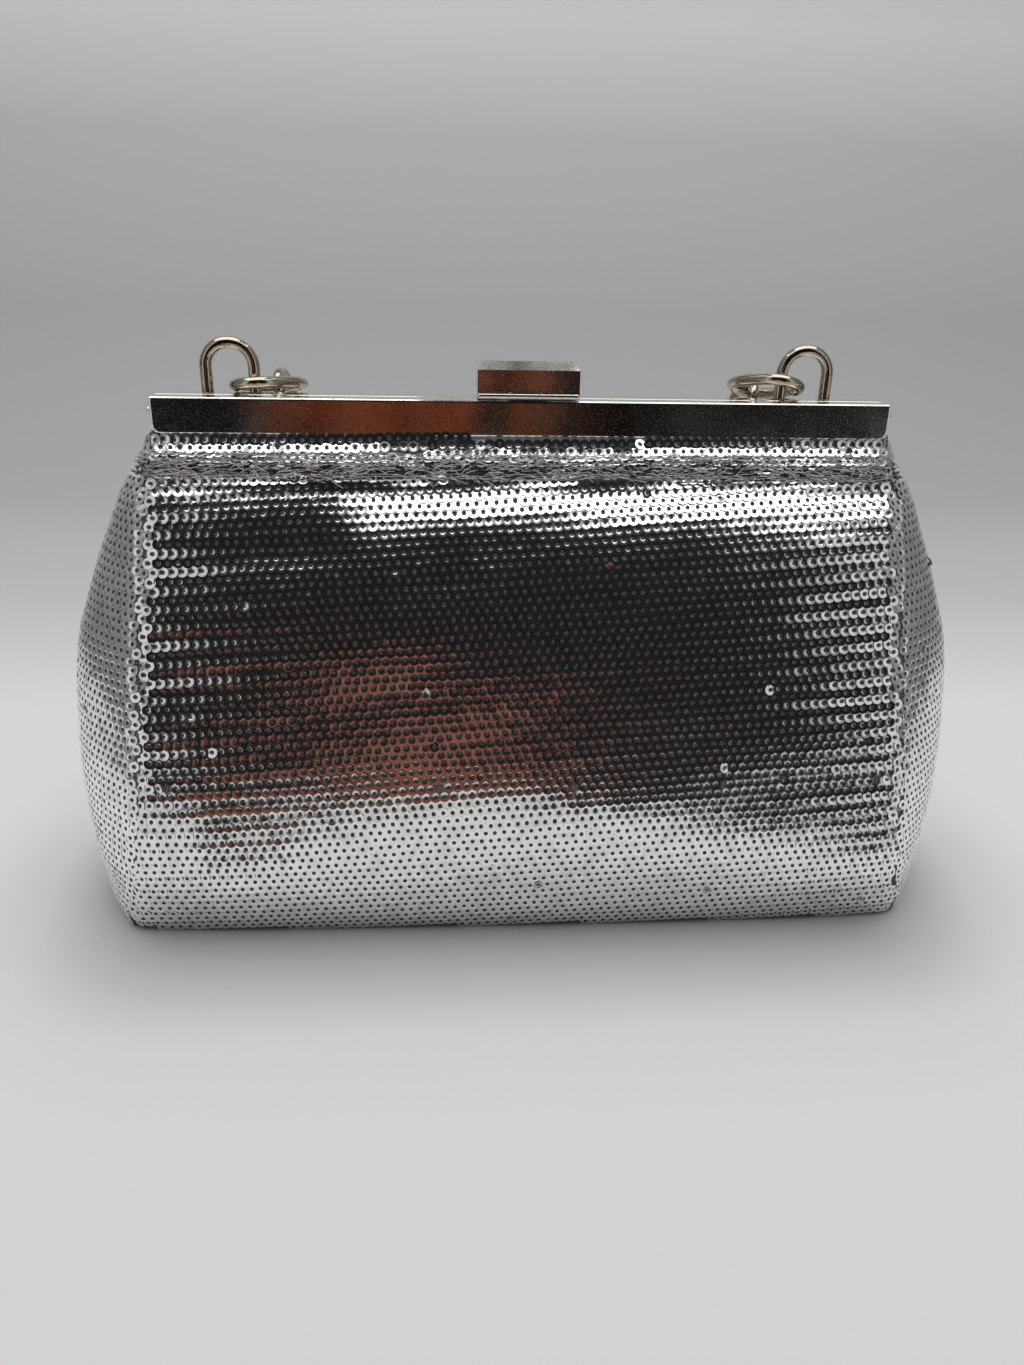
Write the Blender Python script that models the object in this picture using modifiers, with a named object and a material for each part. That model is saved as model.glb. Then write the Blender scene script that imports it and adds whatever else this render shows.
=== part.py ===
"""Evening bag: structured sequinned body on a straight hinged metal frame,
lift-tab clasp on top, two wire staples and a hanging chain strap.

Frame: metres, +Z up, front of the bag towards -Y, base on z = 0.
All constants below are millimetres and are scaled once, in the helpers.
"""
import math

import bmesh
import bpy
from mathutils import Matrix, Vector

MM = 0.001
GAP = 0.3

# straight frame bars
BAR_HALF_LEN = 97.5
BAR_TOP = 147.0
BAR_HEIGHT = 9.7
BAR_BOTTOM = BAR_TOP - BAR_HEIGHT
BAR_DEPTH = 5.5
BAR_SPLIT = 0.2
BAR_WALL = 0.9
BAR_CORNER = 2.6
BAR_MID_Y = BAR_SPLIT + BAR_DEPTH / 2.0

# frame arms and their hinge
HINGE_Z = 104.0
ARM_THICK = 1.2
ARM_OUTER_X = 93.6
ARM_INNER_X = 92.1
ARM_EYE = 4.5
PIN_R = 1.5
PIN_CLEAR = 1.8

# clasp
CLASP_HALF = 13.3
CLASP_FRONT = -5.8
CLASP_AXIS_Y = 3.6
CLASP_AXIS_Z = BAR_TOP + 3.4
CLASP_REAR_R = 3.1
CLASP_BOTTOM = BAR_TOP + 0.6
CLASP_TOP = BAR_TOP + 9.6
CLASP_WALL = 1.0
CLASP_CHAMFER = 2.0
CLASP_LEDGE = 1.8
CLASP_PIN_R = 0.95

# staples
WIRE_R = 1.5
STAPLE_LEFT_X = 77.7
STAPLE_RIGHT_X = 75.4
STAPLE_HALF = 6.2
STAPLE_TOP = BAR_TOP + 14.2

# chain
LINK_LEN = 19.0
LINK_WIDTH = 12.6
LINK_SEAT = 2.0 * WIRE_R + GAP
# first links: near-end height and slack on the staple leg, then turn, drop and roll in degrees
FIRST_LEFT = (149.7, 1.7, 46.0, 5.0, 10.0)
FIRST_RIGHT = (151.3, 1.5, 47.73, 8.2, 20.0)
STRAP_LINKS = 17
STRAP_SETTLE = 5.0
STRAP_TILT_TOP = 22.0
STRAP_TILT_LOW = 9.0

# fabric body
FABRIC = 1.2
PANEL_TOP = 99.7
SHOULDER_FROM = 100.0
SHOULDER_TOP = 137.0
PANEL_FROM = 1.5
FRONT_CROWN = 0.05

HALF_DEPTH = ((0, 29.5), (8, 33.3), (20, 36.2), (32, 37.5), (45, 37.2), (60, 35.0), (80, 30.4),
              (95, 26.4), (106, 22.9), (114, 19.8), (119, 17.3), (124, 14.1), (129, 10.9), (133, 8.3),
              (138, 5.5))
CORNER_X = ((0, 111.0), (8, 110.0), (20, 108.5), (40, 105.7), (60, 103.5), (80, 101.8),
            (95, 100.5), (108, 99.3), (118, 98.7), (128, 98.2), (138, 97.8))
SIDE_X = ((0, 119.0), (8, 124.0), (20, 127.0), (40, 128.0), (60, 127.0), (80, 124.5),
          (95, 119.5), (108, 114.3), (118, 109.5), (128, 103.5), (138, 98.6))


# ---------------------------------------------------------------- helpers
def clear_scene():
    for ob in list(bpy.data.objects):
        bpy.data.objects.remove(ob, do_unlink=True)


def collection(name):
    col = bpy.data.collections.new(name)
    bpy.context.scene.collection.children.link(col)
    return col


def material(name, colour, metallic, roughness):
    mat = bpy.data.materials.new(name)
    mat.use_nodes = True
    mat.diffuse_color = colour
    shader = mat.node_tree.nodes["Principled BSDF"]
    shader.inputs["Base Color"].default_value = colour
    shader.inputs["Metallic"].default_value = metallic
    shader.inputs["Roughness"].default_value = roughness
    return mat


def finish_mesh(ob, angle=35.0):
    mesh = ob.data
    bm = bmesh.new()
    bm.from_mesh(mesh)
    bmesh.ops.remove_doubles(bm, verts=bm.verts, dist=1e-6)
    bmesh.ops.recalc_face_normals(bm, faces=bm.faces)
    bm.to_mesh(mesh)
    bm.free()
    for poly in mesh.polygons:
        poly.use_smooth = True
    mesh.set_sharp_from_angle(angle=math.radians(angle))


def solid(name, verts, faces, mat, col, angle=35.0):
    mesh = bpy.data.meshes.new(name)
    mesh.from_pydata([tuple(c * MM for c in v) for v in verts], [], faces)
    ob = bpy.data.objects.new(name, mesh)
    col.objects.link(ob)
    finish_mesh(ob, angle)
    ob.data.materials.append(mat)
    return ob


def prism(name, outline, lo, hi, axis, mat, col, angle=35.0):
    """Extrude a 2-D outline along X (outline is y,z) or Y (outline is x,z)."""
    verts = []
    for level in (lo, hi):
        for a, b in outline:
            verts.append((level, a, b) if axis == "X" else (a, level, b))
    n = len(outline)
    faces = [tuple(range(n)), tuple(range(2 * n - 1, n - 1, -1))]
    for i in range(n):
        j = (i + 1) % n
        faces.append((i, j, n + j, n + i))
    return solid(name, verts, faces, mat, col, angle)


def box(name, lo, hi, mat, col):
    outline = [(lo[0], lo[2]), (hi[0], lo[2]), (hi[0], hi[2]), (lo[0], hi[2])]
    return prism(name, outline, lo[1], hi[1], "Y", mat, col)


def arc(cx, cy, radius, start, stop, steps):
    pts = []
    for i in range(steps + 1):
        a = math.radians(start + (stop - start) * i / steps)
        pts.append((cx + radius * math.cos(a), cy + radius * math.sin(a)))
    return pts


def lathe_x(name, profile, y, z, mat, col, sides=24):
    """Closed round body about an X axis; profile is (x, radius), ends on the axis."""
    verts = []
    rings = []
    for x, r in profile:
        if r < 1e-9:
            rings.append([len(verts)])
            verts.append((x, y, z))
            continue
        ring = []
        for k in range(sides):
            a = 2.0 * math.pi * k / sides
            ring.append(len(verts))
            verts.append((x, y + r * math.cos(a), z + r * math.sin(a)))
        rings.append(ring)
    faces = []
    for a, b in zip(rings[:-1], rings[1:]):
        for k in range(sides):
            j = (k + 1) % sides
            if len(a) == 1:
                faces.append((a[0], b[k], b[j]))
            elif len(b) == 1:
                faces.append((a[k], a[j], b[0]))
            else:
                faces.append((a[k], a[j], b[j], b[k]))
    return solid(name, verts, faces, mat, col)


def tube(name, points, radius, closed, mat, col):
    """Round wire through the points, turned into a closed mesh."""
    curve = bpy.data.curves.new(name + "_path", "CURVE")
    curve.dimensions = "3D"
    curve.bevel_depth = radius * MM
    curve.bevel_resolution = 2
    curve.use_fill_caps = not closed
    spline = curve.splines.new("POLY")
    spline.points.add(len(points) - 1)
    for pt, co in zip(spline.points, points):
        pt.co = (co[0] * MM, co[1] * MM, co[2] * MM, 1.0)
    spline.use_cyclic_u = closed
    holder = bpy.data.objects.new(name + "_path", curve)
    col.objects.link(holder)
    bpy.context.view_layer.update()
    depsgraph = bpy.context.evaluated_depsgraph_get()
    mesh = bpy.data.meshes.new_from_object(holder.evaluated_get(depsgraph))
    mesh.name = name
    bpy.data.objects.remove(holder, do_unlink=True)
    ob = bpy.data.objects.new(name, mesh)
    col.objects.link(ob)
    finish_mesh(ob, 50.0)
    mesh.materials.clear()
    mesh.materials.append(mat)
    return ob


def bevel(ob, width, segments=2, angle=40.0):
    mod = ob.modifiers.new("edge_round", "BEVEL")
    mod.width = width * MM
    mod.segments = segments
    mod.limit_method = "ANGLE"
    mod.angle_limit = math.radians(angle)
    mod.use_clamp_overlap = True


def cut(ob, cutter):
    mod = ob.modifiers.new("cut_" + cutter.name, "BOOLEAN")
    mod.operation = "DIFFERENCE"
    mod.solver = "EXACT"
    mod.object = cutter
    cutter.hide_render = True
    cutter.display_type = "WIRE"


def curve_value(knots, z):
    """Smooth value between knots (Catmull-Rom on uneven steps)."""
    n = len(knots)
    if z <= knots[0][0]:
        return knots[0][1]
    if z >= knots[-1][0]:
        return knots[-1][1]
    i = 0
    while knots[i + 1][0] < z:
        i += 1
    z0, v0 = knots[i]
    z1, v1 = knots[i + 1]
    h = z1 - z0
    before = knots[max(i - 1, 0)]
    after = knots[min(i + 2, n - 1)]
    m0 = (v1 - before[1]) / (z1 - before[0]) * h
    m1 = (after[1] - v0) / (after[0] - z0) * h
    t = (z - z0) / h
    a = 2 * t ** 3 - 3 * t ** 2 + 1
    b = t ** 3 - 2 * t ** 2 + t
    c = -2 * t ** 3 + 3 * t ** 2
    d = t ** 3 - t ** 2
    return a * v0 + b * m0 + c * v1 + d * m1


def front_point(z, u, inset=0.0):
    x = u * (curve_value(CORNER_X, z) - inset)
    y = -(curve_value(HALF_DEPTH, z) * (1.0 - FRONT_CROWN * u * u) - inset)
    return (x, y, z)


def side_point(z, v, side, inset=0.0):
    corner = curve_value(CORNER_X, z)
    bulge = curve_value(SIDE_X, z) - corner
    half = curve_value(HALF_DEPTH, z) * (1.0 - FRONT_CROWN)
    x = side * (corner + bulge * (1.0 - v * v) - inset)
    return (x, v * (half - inset), z)


def grid_sheet(name, rows, mat, col, thick=FABRIC, flip=False):
    """Thin sheet through rows of points, thickened to the inside."""
    width = len(rows[0])
    verts = [p for row in rows for p in row]
    faces = []
    for r in range(len(rows) - 1):
        for c in range(width - 1):
            a = r * width + c
            quad = (a, a + 1, a + width + 1, a + width)
            faces.append(quad[::-1] if flip else quad)
    mesh = bpy.data.meshes.new(name)
    mesh.from_pydata([tuple(k * MM for k in v) for v in verts], [], faces)
    ob = bpy.data.objects.new(name, mesh)
    col.objects.link(ob)
    for poly in mesh.polygons:
        poly.use_smooth = True
    mod = ob.modifiers.new("thickness", "SOLIDIFY")
    mod.thickness = thick * MM
    mod.offset = -1.0
    mod.use_even_offset = True
    mesh.materials.append(mat)
    return ob


def levels(lo, hi, count):
    return [lo + (hi - lo) * i / (count - 1) for i in range(count)]


# ---------------------------------------------------------------- frame
def make_bar(name, sign, mat, col, cutters):
    lo = min(sign * BAR_SPLIT, sign * (BAR_SPLIT + BAR_DEPTH))
    hi = lo + BAR_DEPTH
    half = BAR_HALF_LEN
    outline = [(-half, BAR_TOP), (-half, BAR_BOTTOM + BAR_CORNER)]
    outline += arc(-half + BAR_CORNER, BAR_BOTTOM + BAR_CORNER, BAR_CORNER, 180, 270, 5)
    outline += arc(half - BAR_CORNER, BAR_BOTTOM + BAR_CORNER, BAR_CORNER, 270, 360, 5)
    outline += [(half, BAR_TOP)]
    bar = prism(name, outline, lo, hi, "Y", mat, col)
    bevel(bar, 0.75, 3)
    inner = half - BAR_WALL
    hollow = box("channel_" + name, (-inner, lo + BAR_WALL, BAR_BOTTOM - 3.0),
                 (inner, hi - BAR_WALL, BAR_TOP - BAR_WALL), mat, cutters)
    cut(bar, hollow)
    return bar


def make_arm(name, side, front, mat, col, cutters):
    """Flat strip in the YZ plane: narrow in the channel, eye at the hinge."""
    near = -3.8
    far = -1.6
    top = BAR_TOP - BAR_WALL - GAP
    outline = [(near, top), (near, 131.0), (-ARM_EYE, 118.0)]
    outline += arc(0.0, HINGE_Z, ARM_EYE, 180, 375, 14)
    outline += [(far + 1.6, 128.0), (far, 134.0), (far, top)]
    if not front:
        outline = [(-y, z) for y, z in outline]
    inner_x = ARM_OUTER_X if front else ARM_INNER_X
    lo, hi = sorted((side * inner_x, side * (inner_x + ARM_THICK)))
    arm = prism(name, outline, lo, hi, "X", mat, col)
    hole = lathe_x("hole_" + name, [(lo - 2, 0), (lo - 2, PIN_CLEAR), (hi + 2, PIN_CLEAR), (hi + 2, 0)],
                   0.0, HINGE_Z, mat, cutters, 20)
    cut(arm, hole)
    return arm


def make_hinge_pin(name, side, mat, col):
    a = ARM_INNER_X - GAP
    b = ARM_OUTER_X + ARM_THICK + GAP
    profile = [(a - 1.0, 0), (a - 1.0, 2.2), (a - 0.7, 2.6), (a, 2.6), (a, PIN_R), (b, PIN_R),
               (b, 2.6), (b + 0.6, 2.6), (b + 0.9, 2.1), (b + 0.9, 0)]
    if side < 0:
        profile = [(-x, r) for x, r in reversed(profile)]
    return lathe_x(name, profile, 0.0, HINGE_Z, mat, col, 20)


def make_rivet(name, side, sign, mat, col):
    base = BAR_HALF_LEN + GAP
    profile = [(base, 0), (base, 1.5), (base + 0.45, 1.4), (base + 0.8, 0.95), (base + 0.95, 0)]
    if side < 0:
        profile = [(-x, r) for x, r in reversed(profile)]
    return lathe_x(name, profile, sign * BAR_MID_Y, BAR_TOP - 4.3, mat, col, 16)


# ---------------------------------------------------------------- clasp
def make_clasp_tab(mat, col, cutters):
    ay, az = CLASP_AXIS_Y, CLASP_AXIS_Z
    outline = [(CLASP_FRONT, CLASP_BOTTOM), (ay, az - CLASP_REAR_R)]
    outline += arc(ay, az, CLASP_REAR_R, -80, 0, 6)
    outline += [(ay + CLASP_REAR_R, CLASP_TOP - 0.9), (ay + CLASP_REAR_R - 0.9, CLASP_TOP),
                (CLASP_FRONT + CLASP_CHAMFER + 0.9, CLASP_TOP),
                (CLASP_FRONT, CLASP_TOP - CLASP_CHAMFER),
                (CLASP_FRONT, CLASP_BOTTOM + CLASP_LEDGE + 0.15),
                (CLASP_FRONT - 0.5, CLASP_BOTTOM + CLASP_LEDGE),
                (CLASP_FRONT - 0.5, CLASP_BOTTOM)]
    outline = outline[1:]
    tab = prism("clasp_tab", outline, -CLASP_HALF, CLASP_HALF, "X", mat, col, 30.0)
    for side in (-1, 1):
        e = side * CLASP_HALF
        wedge = [(e + side, CLASP_TOP + 1.0), (e - side * (CLASP_CHAMFER + 1.0), CLASP_TOP + 1.0),
                 (e + side, CLASP_TOP - CLASP_CHAMFER - 1.0)]
        cut(tab, prism("clasp_side_chamfer_%d" % (side + 1), wedge, -9.0, 9.0, "Y", mat, cutters))
    w = CLASP_WALL
    cavity = [(CLASP_FRONT + w, CLASP_BOTTOM - 2.0), (CLASP_FRONT + w, CLASP_TOP - CLASP_CHAMFER - w),
              (CLASP_FRONT + w + 1.6, CLASP_TOP - w), (ay + CLASP_REAR_R - w, CLASP_TOP - w),
              (ay + CLASP_REAR_R - w, az), (ay + 1.4, az - 1.3), (ay + 0.6, CLASP_BOTTOM - 2.0)]
    inner = CLASP_HALF - w
    cut(tab, prism("clasp_hollow", cavity, -inner, inner, "X", mat, cutters))
    cut(tab, box("clasp_thumb_notch", (-5.6, CLASP_FRONT - 2.0, CLASP_BOTTOM - 1.0),
                 (5.6, CLASP_FRONT + w + 1.0, CLASP_BOTTOM + 1.5), mat, cutters))
    cut(tab, box("clasp_knuckle_gap", (-4.4, ay + 0.3, CLASP_BOTTOM - 2.0),
                 (4.4, ay + 5.0, az + 2.4), mat, cutters))
    bore = CLASP_PIN_R + GAP
    cut(tab, lathe_x("clasp_pin_bore", [(-15, 0), (-15, bore), (15, bore), (15, 0)], ay, az, mat, cutters, 20))
    return tab


def make_clasp_bracket(mat, col, cutters):
    ay, az = CLASP_AXIS_Y, CLASP_AXIS_Z
    outline = [(ay - 1.5, BAR_TOP + GAP), (ay + 1.5, BAR_TOP + GAP)]
    outline += arc(ay, az, 1.65, -20, 200, 12)
    block = prism("clasp_bracket", outline, -4.0, 4.0, "X", mat, col)
    bore = CLASP_PIN_R + 0.25
    cut(block, lathe_x("bracket_bore", [(-6, 0), (-6, bore), (6, bore), (6, 0)], ay, az, mat, cutters, 20))
    return block


def make_clasp_pin(mat, col):
    half = CLASP_HALF - 0.15
    profile = [(-half, 0), (-half, 0.7), (-half + 0.25, CLASP_PIN_R), (half - 0.25, CLASP_PIN_R),
               (half, 0.7), (half, 0)]
    return lathe_x("clasp_pin", profile, CLASP_AXIS_Y, CLASP_AXIS_Z, mat, col, 16)


def make_catch_plate(mat, col):
    plate = box("catch_plate", (-4.9, -4.6, BAR_TOP + GAP), (4.9, -1.0, BAR_TOP + GAP + 0.8), mat, col)
    bevel(plate, 0.2, 1)
    return plate


# ---------------------------------------------------------------- staples and chain
def make_staple(name, x, mat, col):
    r = 6.0
    top = STAPLE_TOP - WIRE_R
    half = STAPLE_HALF
    path = [(x - half, BAR_TOP + GAP), (x - half, BAR_TOP + 4.0)]
    path += arc(x - half + r, top - r, r, 180, 90, 7)
    path += arc(x + half - r, top - r, r, 90, 0, 7)
    path += [(x + half, BAR_TOP + 4.0), (x + half, BAR_TOP + GAP)]
    return tube(name, [(a, BAR_MID_Y, b) for a, b in path], WIRE_R, False, mat, col)


def make_link(name, centre, along, across, mat, col):
    """Oval wire link: straight sides along, round ends."""
    straight = (LINK_LEN - LINK_WIDTH) / 2.0
    r = LINK_WIDTH / 2.0
    flat = []
    flat += [(straight + a, b) for a, b in arc(0, 0, r, -90, 90, 10)]
    flat += [(-straight + a, b) for a, b in arc(0, 0, r, 90, 270, 10)]
    pts = [tuple(centre + along * a + across * b) for a, b in flat]
    return tube(name, pts, WIRE_R, True, mat, col)


def first_link_frame(side):
    """Near end, long axis and cross axis of the link that rides on a staple leg."""
    height, slack, turn, drop, roll = FIRST_LEFT if side < 0 else FIRST_RIGHT
    a = math.radians(turn)
    d = math.radians(drop)
    along = Vector((-side * math.cos(a) * math.cos(d), math.sin(a) * math.cos(d), -math.sin(d)))
    staple_x = STAPLE_LEFT_X if side < 0 else STAPLE_RIGHT_X
    leg = Vector((side * (staple_x - STAPLE_HALF), BAR_MID_Y, height))
    flat = Vector((along.x, along.y, 0.0)).normalized()
    near_end = leg - flat * (LINK_SEAT + slack)
    level = Vector((side * math.sin(a), math.cos(a), 0.0))
    upward = level.cross(along)
    if upward.z < 0.0:
        upward = -upward
    r = math.radians(roll)
    across = (level * math.cos(r) - upward * math.sin(r)).normalized()
    return near_end, along, across


def make_first_link(name, side, mat, col):
    near_end, along, across = first_link_frame(side)
    centre = near_end + along * (LINK_LEN / 2.0)
    return make_link(name, centre, along, across, mat, col)


def strap_anchor(side):
    """Rearmost point of the first link's far bend, where the strap hangs."""
    near_end, along, across = first_link_frame(side)
    r = LINK_WIDTH / 2.0
    centre = near_end + along * (LINK_LEN - r)
    angle = math.atan2(across.y, along.y)
    return centre + (along * math.cos(angle) + across * math.sin(angle)) * r


def strap_surface(x, q, anchor):
    """Point q millimetres down the strap's gently bent hanging surface."""
    y, z = anchor.y, anchor.z
    tilt = STRAP_TILT_TOP
    step = 1.0
    done = 0.0
    while done < q:
        part = min(step, q - done)
        t = min(max((done - 45.0) / 40.0, 0.0), 1.0)
        t = t * t * (3.0 - 2.0 * t)
        tilt = STRAP_TILT_TOP + (STRAP_TILT_LOW - STRAP_TILT_TOP) * t
        y += math.sin(math.radians(tilt)) * part
        z -= math.cos(math.radians(tilt)) * part
        done += part
    if q < 0:
        y += math.sin(math.radians(tilt)) * q
        z -= math.cos(math.radians(tilt)) * q
    normal = Vector((0.0, math.cos(math.radians(tilt)), math.sin(math.radians(tilt))))
    return Vector((x, y, z)), normal


def strap_joints():
    """Hanging polygon between the two anchors: equal link weights, fixed lengths."""
    left = strap_anchor(-1)
    right = strap_anchor(1)
    span = right.x - left.x
    inner = LINK_LEN - LINK_SEAT
    end = LINK_LEN - LINK_SEAT * 1.5
    lengths = [end] + [inner] * (STRAP_LINKS - 2) + [end]
    mid = (STRAP_LINKS - 1) / 2.0
    lo, hi = 0.01, 200.0
    for _ in range(60):
        pull = (lo + hi) / 2.0
        reach = sum(n * pull / math.hypot(pull, i - mid) for i, n in enumerate(lengths))
        if reach < span:
            lo = pull
        else:
            hi = pull
    x, q = left.x, 0.0
    joints = [(x, q)]
    for i, n in enumerate(lengths):
        slope = math.hypot(pull, i - mid)
        x += n * pull / slope
        q += n * (mid - i) / slope
        joints.append((x, q))
    return joints, left


def make_strap(mat, col):
    joints, anchor = strap_joints()
    links = []
    for i in range(STRAP_LINKS):
        (xa, qa), (xb, qb) = joints[i], joints[i + 1]
        a, _ = strap_surface(xa, qa, anchor)
        b, _ = strap_surface(xb, qb, anchor)
        _, normal = strap_surface((xa + xb) / 2.0, (qa + qb) / 2.0, anchor)
        along = (b - a).normalized()
        inplane = along.cross(normal).normalized()
        normal = inplane.cross(along).normalized()
        from_end = min(i, STRAP_LINKS - 1 - i)
        roll = 45.0 + 45.0 * max(1.0 - from_end / STRAP_SETTLE, 0.0)
        if i % 2 == 1:
            roll -= 90.0
        r = math.radians(roll)
        across = (inplane * math.cos(r) + normal * math.sin(r)).normalized()
        if i == 0:
            centre = b + along * (LINK_SEAT / 2.0 - LINK_LEN / 2.0)
        elif i == STRAP_LINKS - 1:
            centre = a + along * (LINK_LEN / 2.0 - LINK_SEAT / 2.0)
        else:
            centre = (a + b) / 2.0
        links.append(make_link("strap_link_%02d" % (i + 1), centre, along, across, mat, col))
    return links


# ---------------------------------------------------------------- fabric body
def make_front_panel(name, sign, mat, col):
    rows = []
    for z in levels(PANEL_FROM, PANEL_TOP, 15):
        row = []
        for u in levels(-1.0, 1.0, 21):
            x, y, zz = front_point(z, u)
            row.append((x, -sign * y, zz))
        rows.append(row)
    return grid_sheet(name, rows, mat, col, FABRIC, flip=sign > 0)


def make_gusset(name, side, mat, col):
    rows = []
    for z in levels(PANEL_FROM, PANEL_TOP, 15):
        half = curve_value(HALF_DEPTH, z) * (1.0 - FRONT_CROWN)
        limit = (half - FABRIC - 0.5) / half
        rows.append([side_point(z, v * limit, side, 0.35) for v in levels(-1.0, 1.0, 13)])
    return grid_sheet(name, rows, mat, col, FABRIC, flip=side < 0)


def make_base_panel(mat, col):
    ring = []
    for u in levels(-1.0, 1.0, 13):
        ring.append(front_point(0.0, u, 0.4)[:2])
    for v in levels(-1.0, 1.0, 11)[1:-1]:
        ring.append(side_point(0.0, v, 1, 0.4)[:2])
    for u in levels(1.0, -1.0, 13):
        x, y, _ = front_point(0.0, u, 0.4)
        ring.append((x, -y))
    for v in levels(1.0, -1.0, 11)[1:-1]:
        ring.append(side_point(0.0, v, -1, 0.4)[:2])
    n = len(ring)
    verts = [(x, y, 0.0) for x, y in ring] + [(x, y, FABRIC) for x, y in ring]
    faces = [tuple(range(n - 1, -1, -1)), tuple(range(n, 2 * n))]
    for i in range(n):
        j = (i + 1) % n
        faces.append((i, j, n + j, n + i))
    return solid("base_panel", verts, faces, mat, col)


def shoulder_row(z, sign):
    """Front half of the outline at one height, side middle to side middle."""
    row = []
    corner = curve_value(CORNER_X, z)
    half = curve_value(HALF_DEPTH, z) * (1.0 - FRONT_CROWN)
    stop = 0.25 / half
    for v in levels(-stop, -0.98, 5):
        row.append(side_point(z, v, -1))
    for u in levels(-1.0, 1.0, 17)[1:-1]:
        row.append(front_point(z, u))
    for v in levels(-0.98, -stop, 5):
        row.append(side_point(z, v, 1))
    return [(x, -sign * y, zz) for x, y, zz in row]


def make_shoulder(name, sign, mat, col):
    rows = [shoulder_row(z, sign) for z in levels(SHOULDER_FROM, SHOULDER_TOP, 11)]
    return grid_sheet(name, rows, mat, col, FABRIC, flip=sign > 0)


def make_lining(mat, col):
    """Open-topped inner bag with a flat floor, one closed thin body."""
    zs = [4.2] + levels(6.0, 96.8, 13)
    thick = 0.6
    inset = FABRIC + 1.2

    def ring(z, grow):
        out = []
        off = inset + grow
        for u in levels(-1.0, 1.0, 15):
            out.append(front_point(z, u, off)[:2])
        for v in levels(-1.0, 1.0, 9)[1:-1]:
            out.append(side_point(z, v, 1, off)[:2])
        for u in levels(1.0, -1.0, 15):
            x, y, _ = front_point(z, u, off)
            out.append((x, -y))
        for v in levels(1.0, -1.0, 9)[1:-1]:
            out.append(side_point(z, v, -1, off)[:2])
        return out

    verts = []
    rings = []
    for z in zs:
        rings.append([])
        for x, y in ring(z, 0.0):
            rings[-1].append(len(verts))
            verts.append((x, y, z))
    for z in reversed(zs):
        rings.append([])
        level = max(z, zs[0] + thick)
        for x, y in ring(z, thick):
            rings[-1].append(len(verts))
            verts.append((x, y, level))
    faces = [tuple(reversed(rings[0])), tuple(rings[-1])]
    for a, b in zip(rings[:-1], rings[1:]):
        n = len(a)
        for i in range(n):
            j = (i + 1) % n
            faces.append((a[i], a[j], b[j], b[i]))
    return solid("lining", verts, faces, mat, col, 60.0)


def make_upper_lining(name, sign, mat, col):
    rows = []
    for z in levels(97.3, 136.6, 9):
        row = []
        half = curve_value(HALF_DEPTH, z) - FABRIC - 1.1
        for u in levels(-1.0, 1.0, 13):
            crown = 1.0 - FRONT_CROWN * u * u
            row.append((u * 89.0, sign * (half * crown), z))
        rows.append(row)
    return grid_sheet(name, rows, mat, col, 0.6, flip=sign > 0)


def make_base_board(mat, col):
    board = box("base_board", (-106.0, -26.8, 1.5), (106.0, 26.8, 3.7), mat, col)
    return board


def set_origin(ob, y, z):
    pivot = Vector((0.0, y * MM, z * MM))
    ob.data.transform(Matrix.Translation(-pivot))
    ob.location = pivot


def build():
    clear_scene()
    col = collection("evening_bag")
    cutters = collection("cutters")
    nickel = material("polished_nickel", (0.78, 0.76, 0.72, 1), 1.0, 0.12)
    steel = material("plain_steel", (0.55, 0.55, 0.56, 1), 1.0, 0.35)
    chain = material("chain_nickel", (0.74, 0.72, 0.68, 1), 1.0, 0.18)
    sequin = material("sequin_fabric", (0.62, 0.63, 0.64, 1), 0.6, 0.35)
    under = material("base_fabric", (0.42, 0.42, 0.43, 1), 0.0, 0.8)
    satin = material("grey_satin", (0.36, 0.36, 0.38, 1), 0.0, 0.5)
    board = material("stiff_board", (0.40, 0.33, 0.25, 1), 0.0, 0.9)

    front = []
    front.append(make_bar("front_bar", -1, nickel, col, cutters))
    make_bar("rear_bar", 1, nickel, col, cutters)
    for side, tag in ((-1, "left"), (1, "right")):
        front.append(make_arm("front_arm_" + tag, side, True, steel, col, cutters))
        make_arm("rear_arm_" + tag, side, False, steel, col, cutters)
        make_hinge_pin("hinge_pin_" + tag, side, steel, col)
        front.append(make_rivet("front_rivet_" + tag, side, -1, nickel, col))
        make_rivet("rear_rivet_" + tag, side, 1, nickel, col)

    tab = make_clasp_tab(nickel, col, cutters)
    make_clasp_bracket(steel, col, cutters)
    make_clasp_pin(steel, col)
    front.append(make_catch_plate(steel, col))

    make_staple("left_staple", -STAPLE_LEFT_X, nickel, col)
    make_staple("right_staple", STAPLE_RIGHT_X, nickel, col)
    make_first_link("left_first_link", -1, chain, col)
    make_first_link("right_first_link", 1, chain, col)
    strap = make_strap(chain, col)

    make_front_panel("front_panel", -1, sequin, col)
    make_front_panel("rear_panel", 1, sequin, col)
    make_gusset("left_gusset", -1, sequin, col)
    make_gusset("right_gusset", 1, sequin, col)
    make_base_panel(under, col)
    front.append(make_shoulder("front_shoulder", -1, sequin, col))
    make_shoulder("rear_shoulder", 1, sequin, col)
    make_lining(satin, col)
    front.append(make_upper_lining("front_lining", -1, satin, col))
    make_upper_lining("rear_lining", 1, satin, col)
    make_base_board(board, col)

    for ob in front:
        set_origin(ob, 0.0, HINGE_Z)
    set_origin(tab, CLASP_AXIS_Y, CLASP_AXIS_Z)
    anchor = strap_anchor(-1)
    for ob in strap:
        set_origin(ob, anchor.y, anchor.z)


build()
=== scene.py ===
"""Looks of the evening bag: sequinned cloth, polished frame, chain, lining and studio."""

import math

import bpy
import numpy as np
from mathutils import Matrix, Vector


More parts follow.
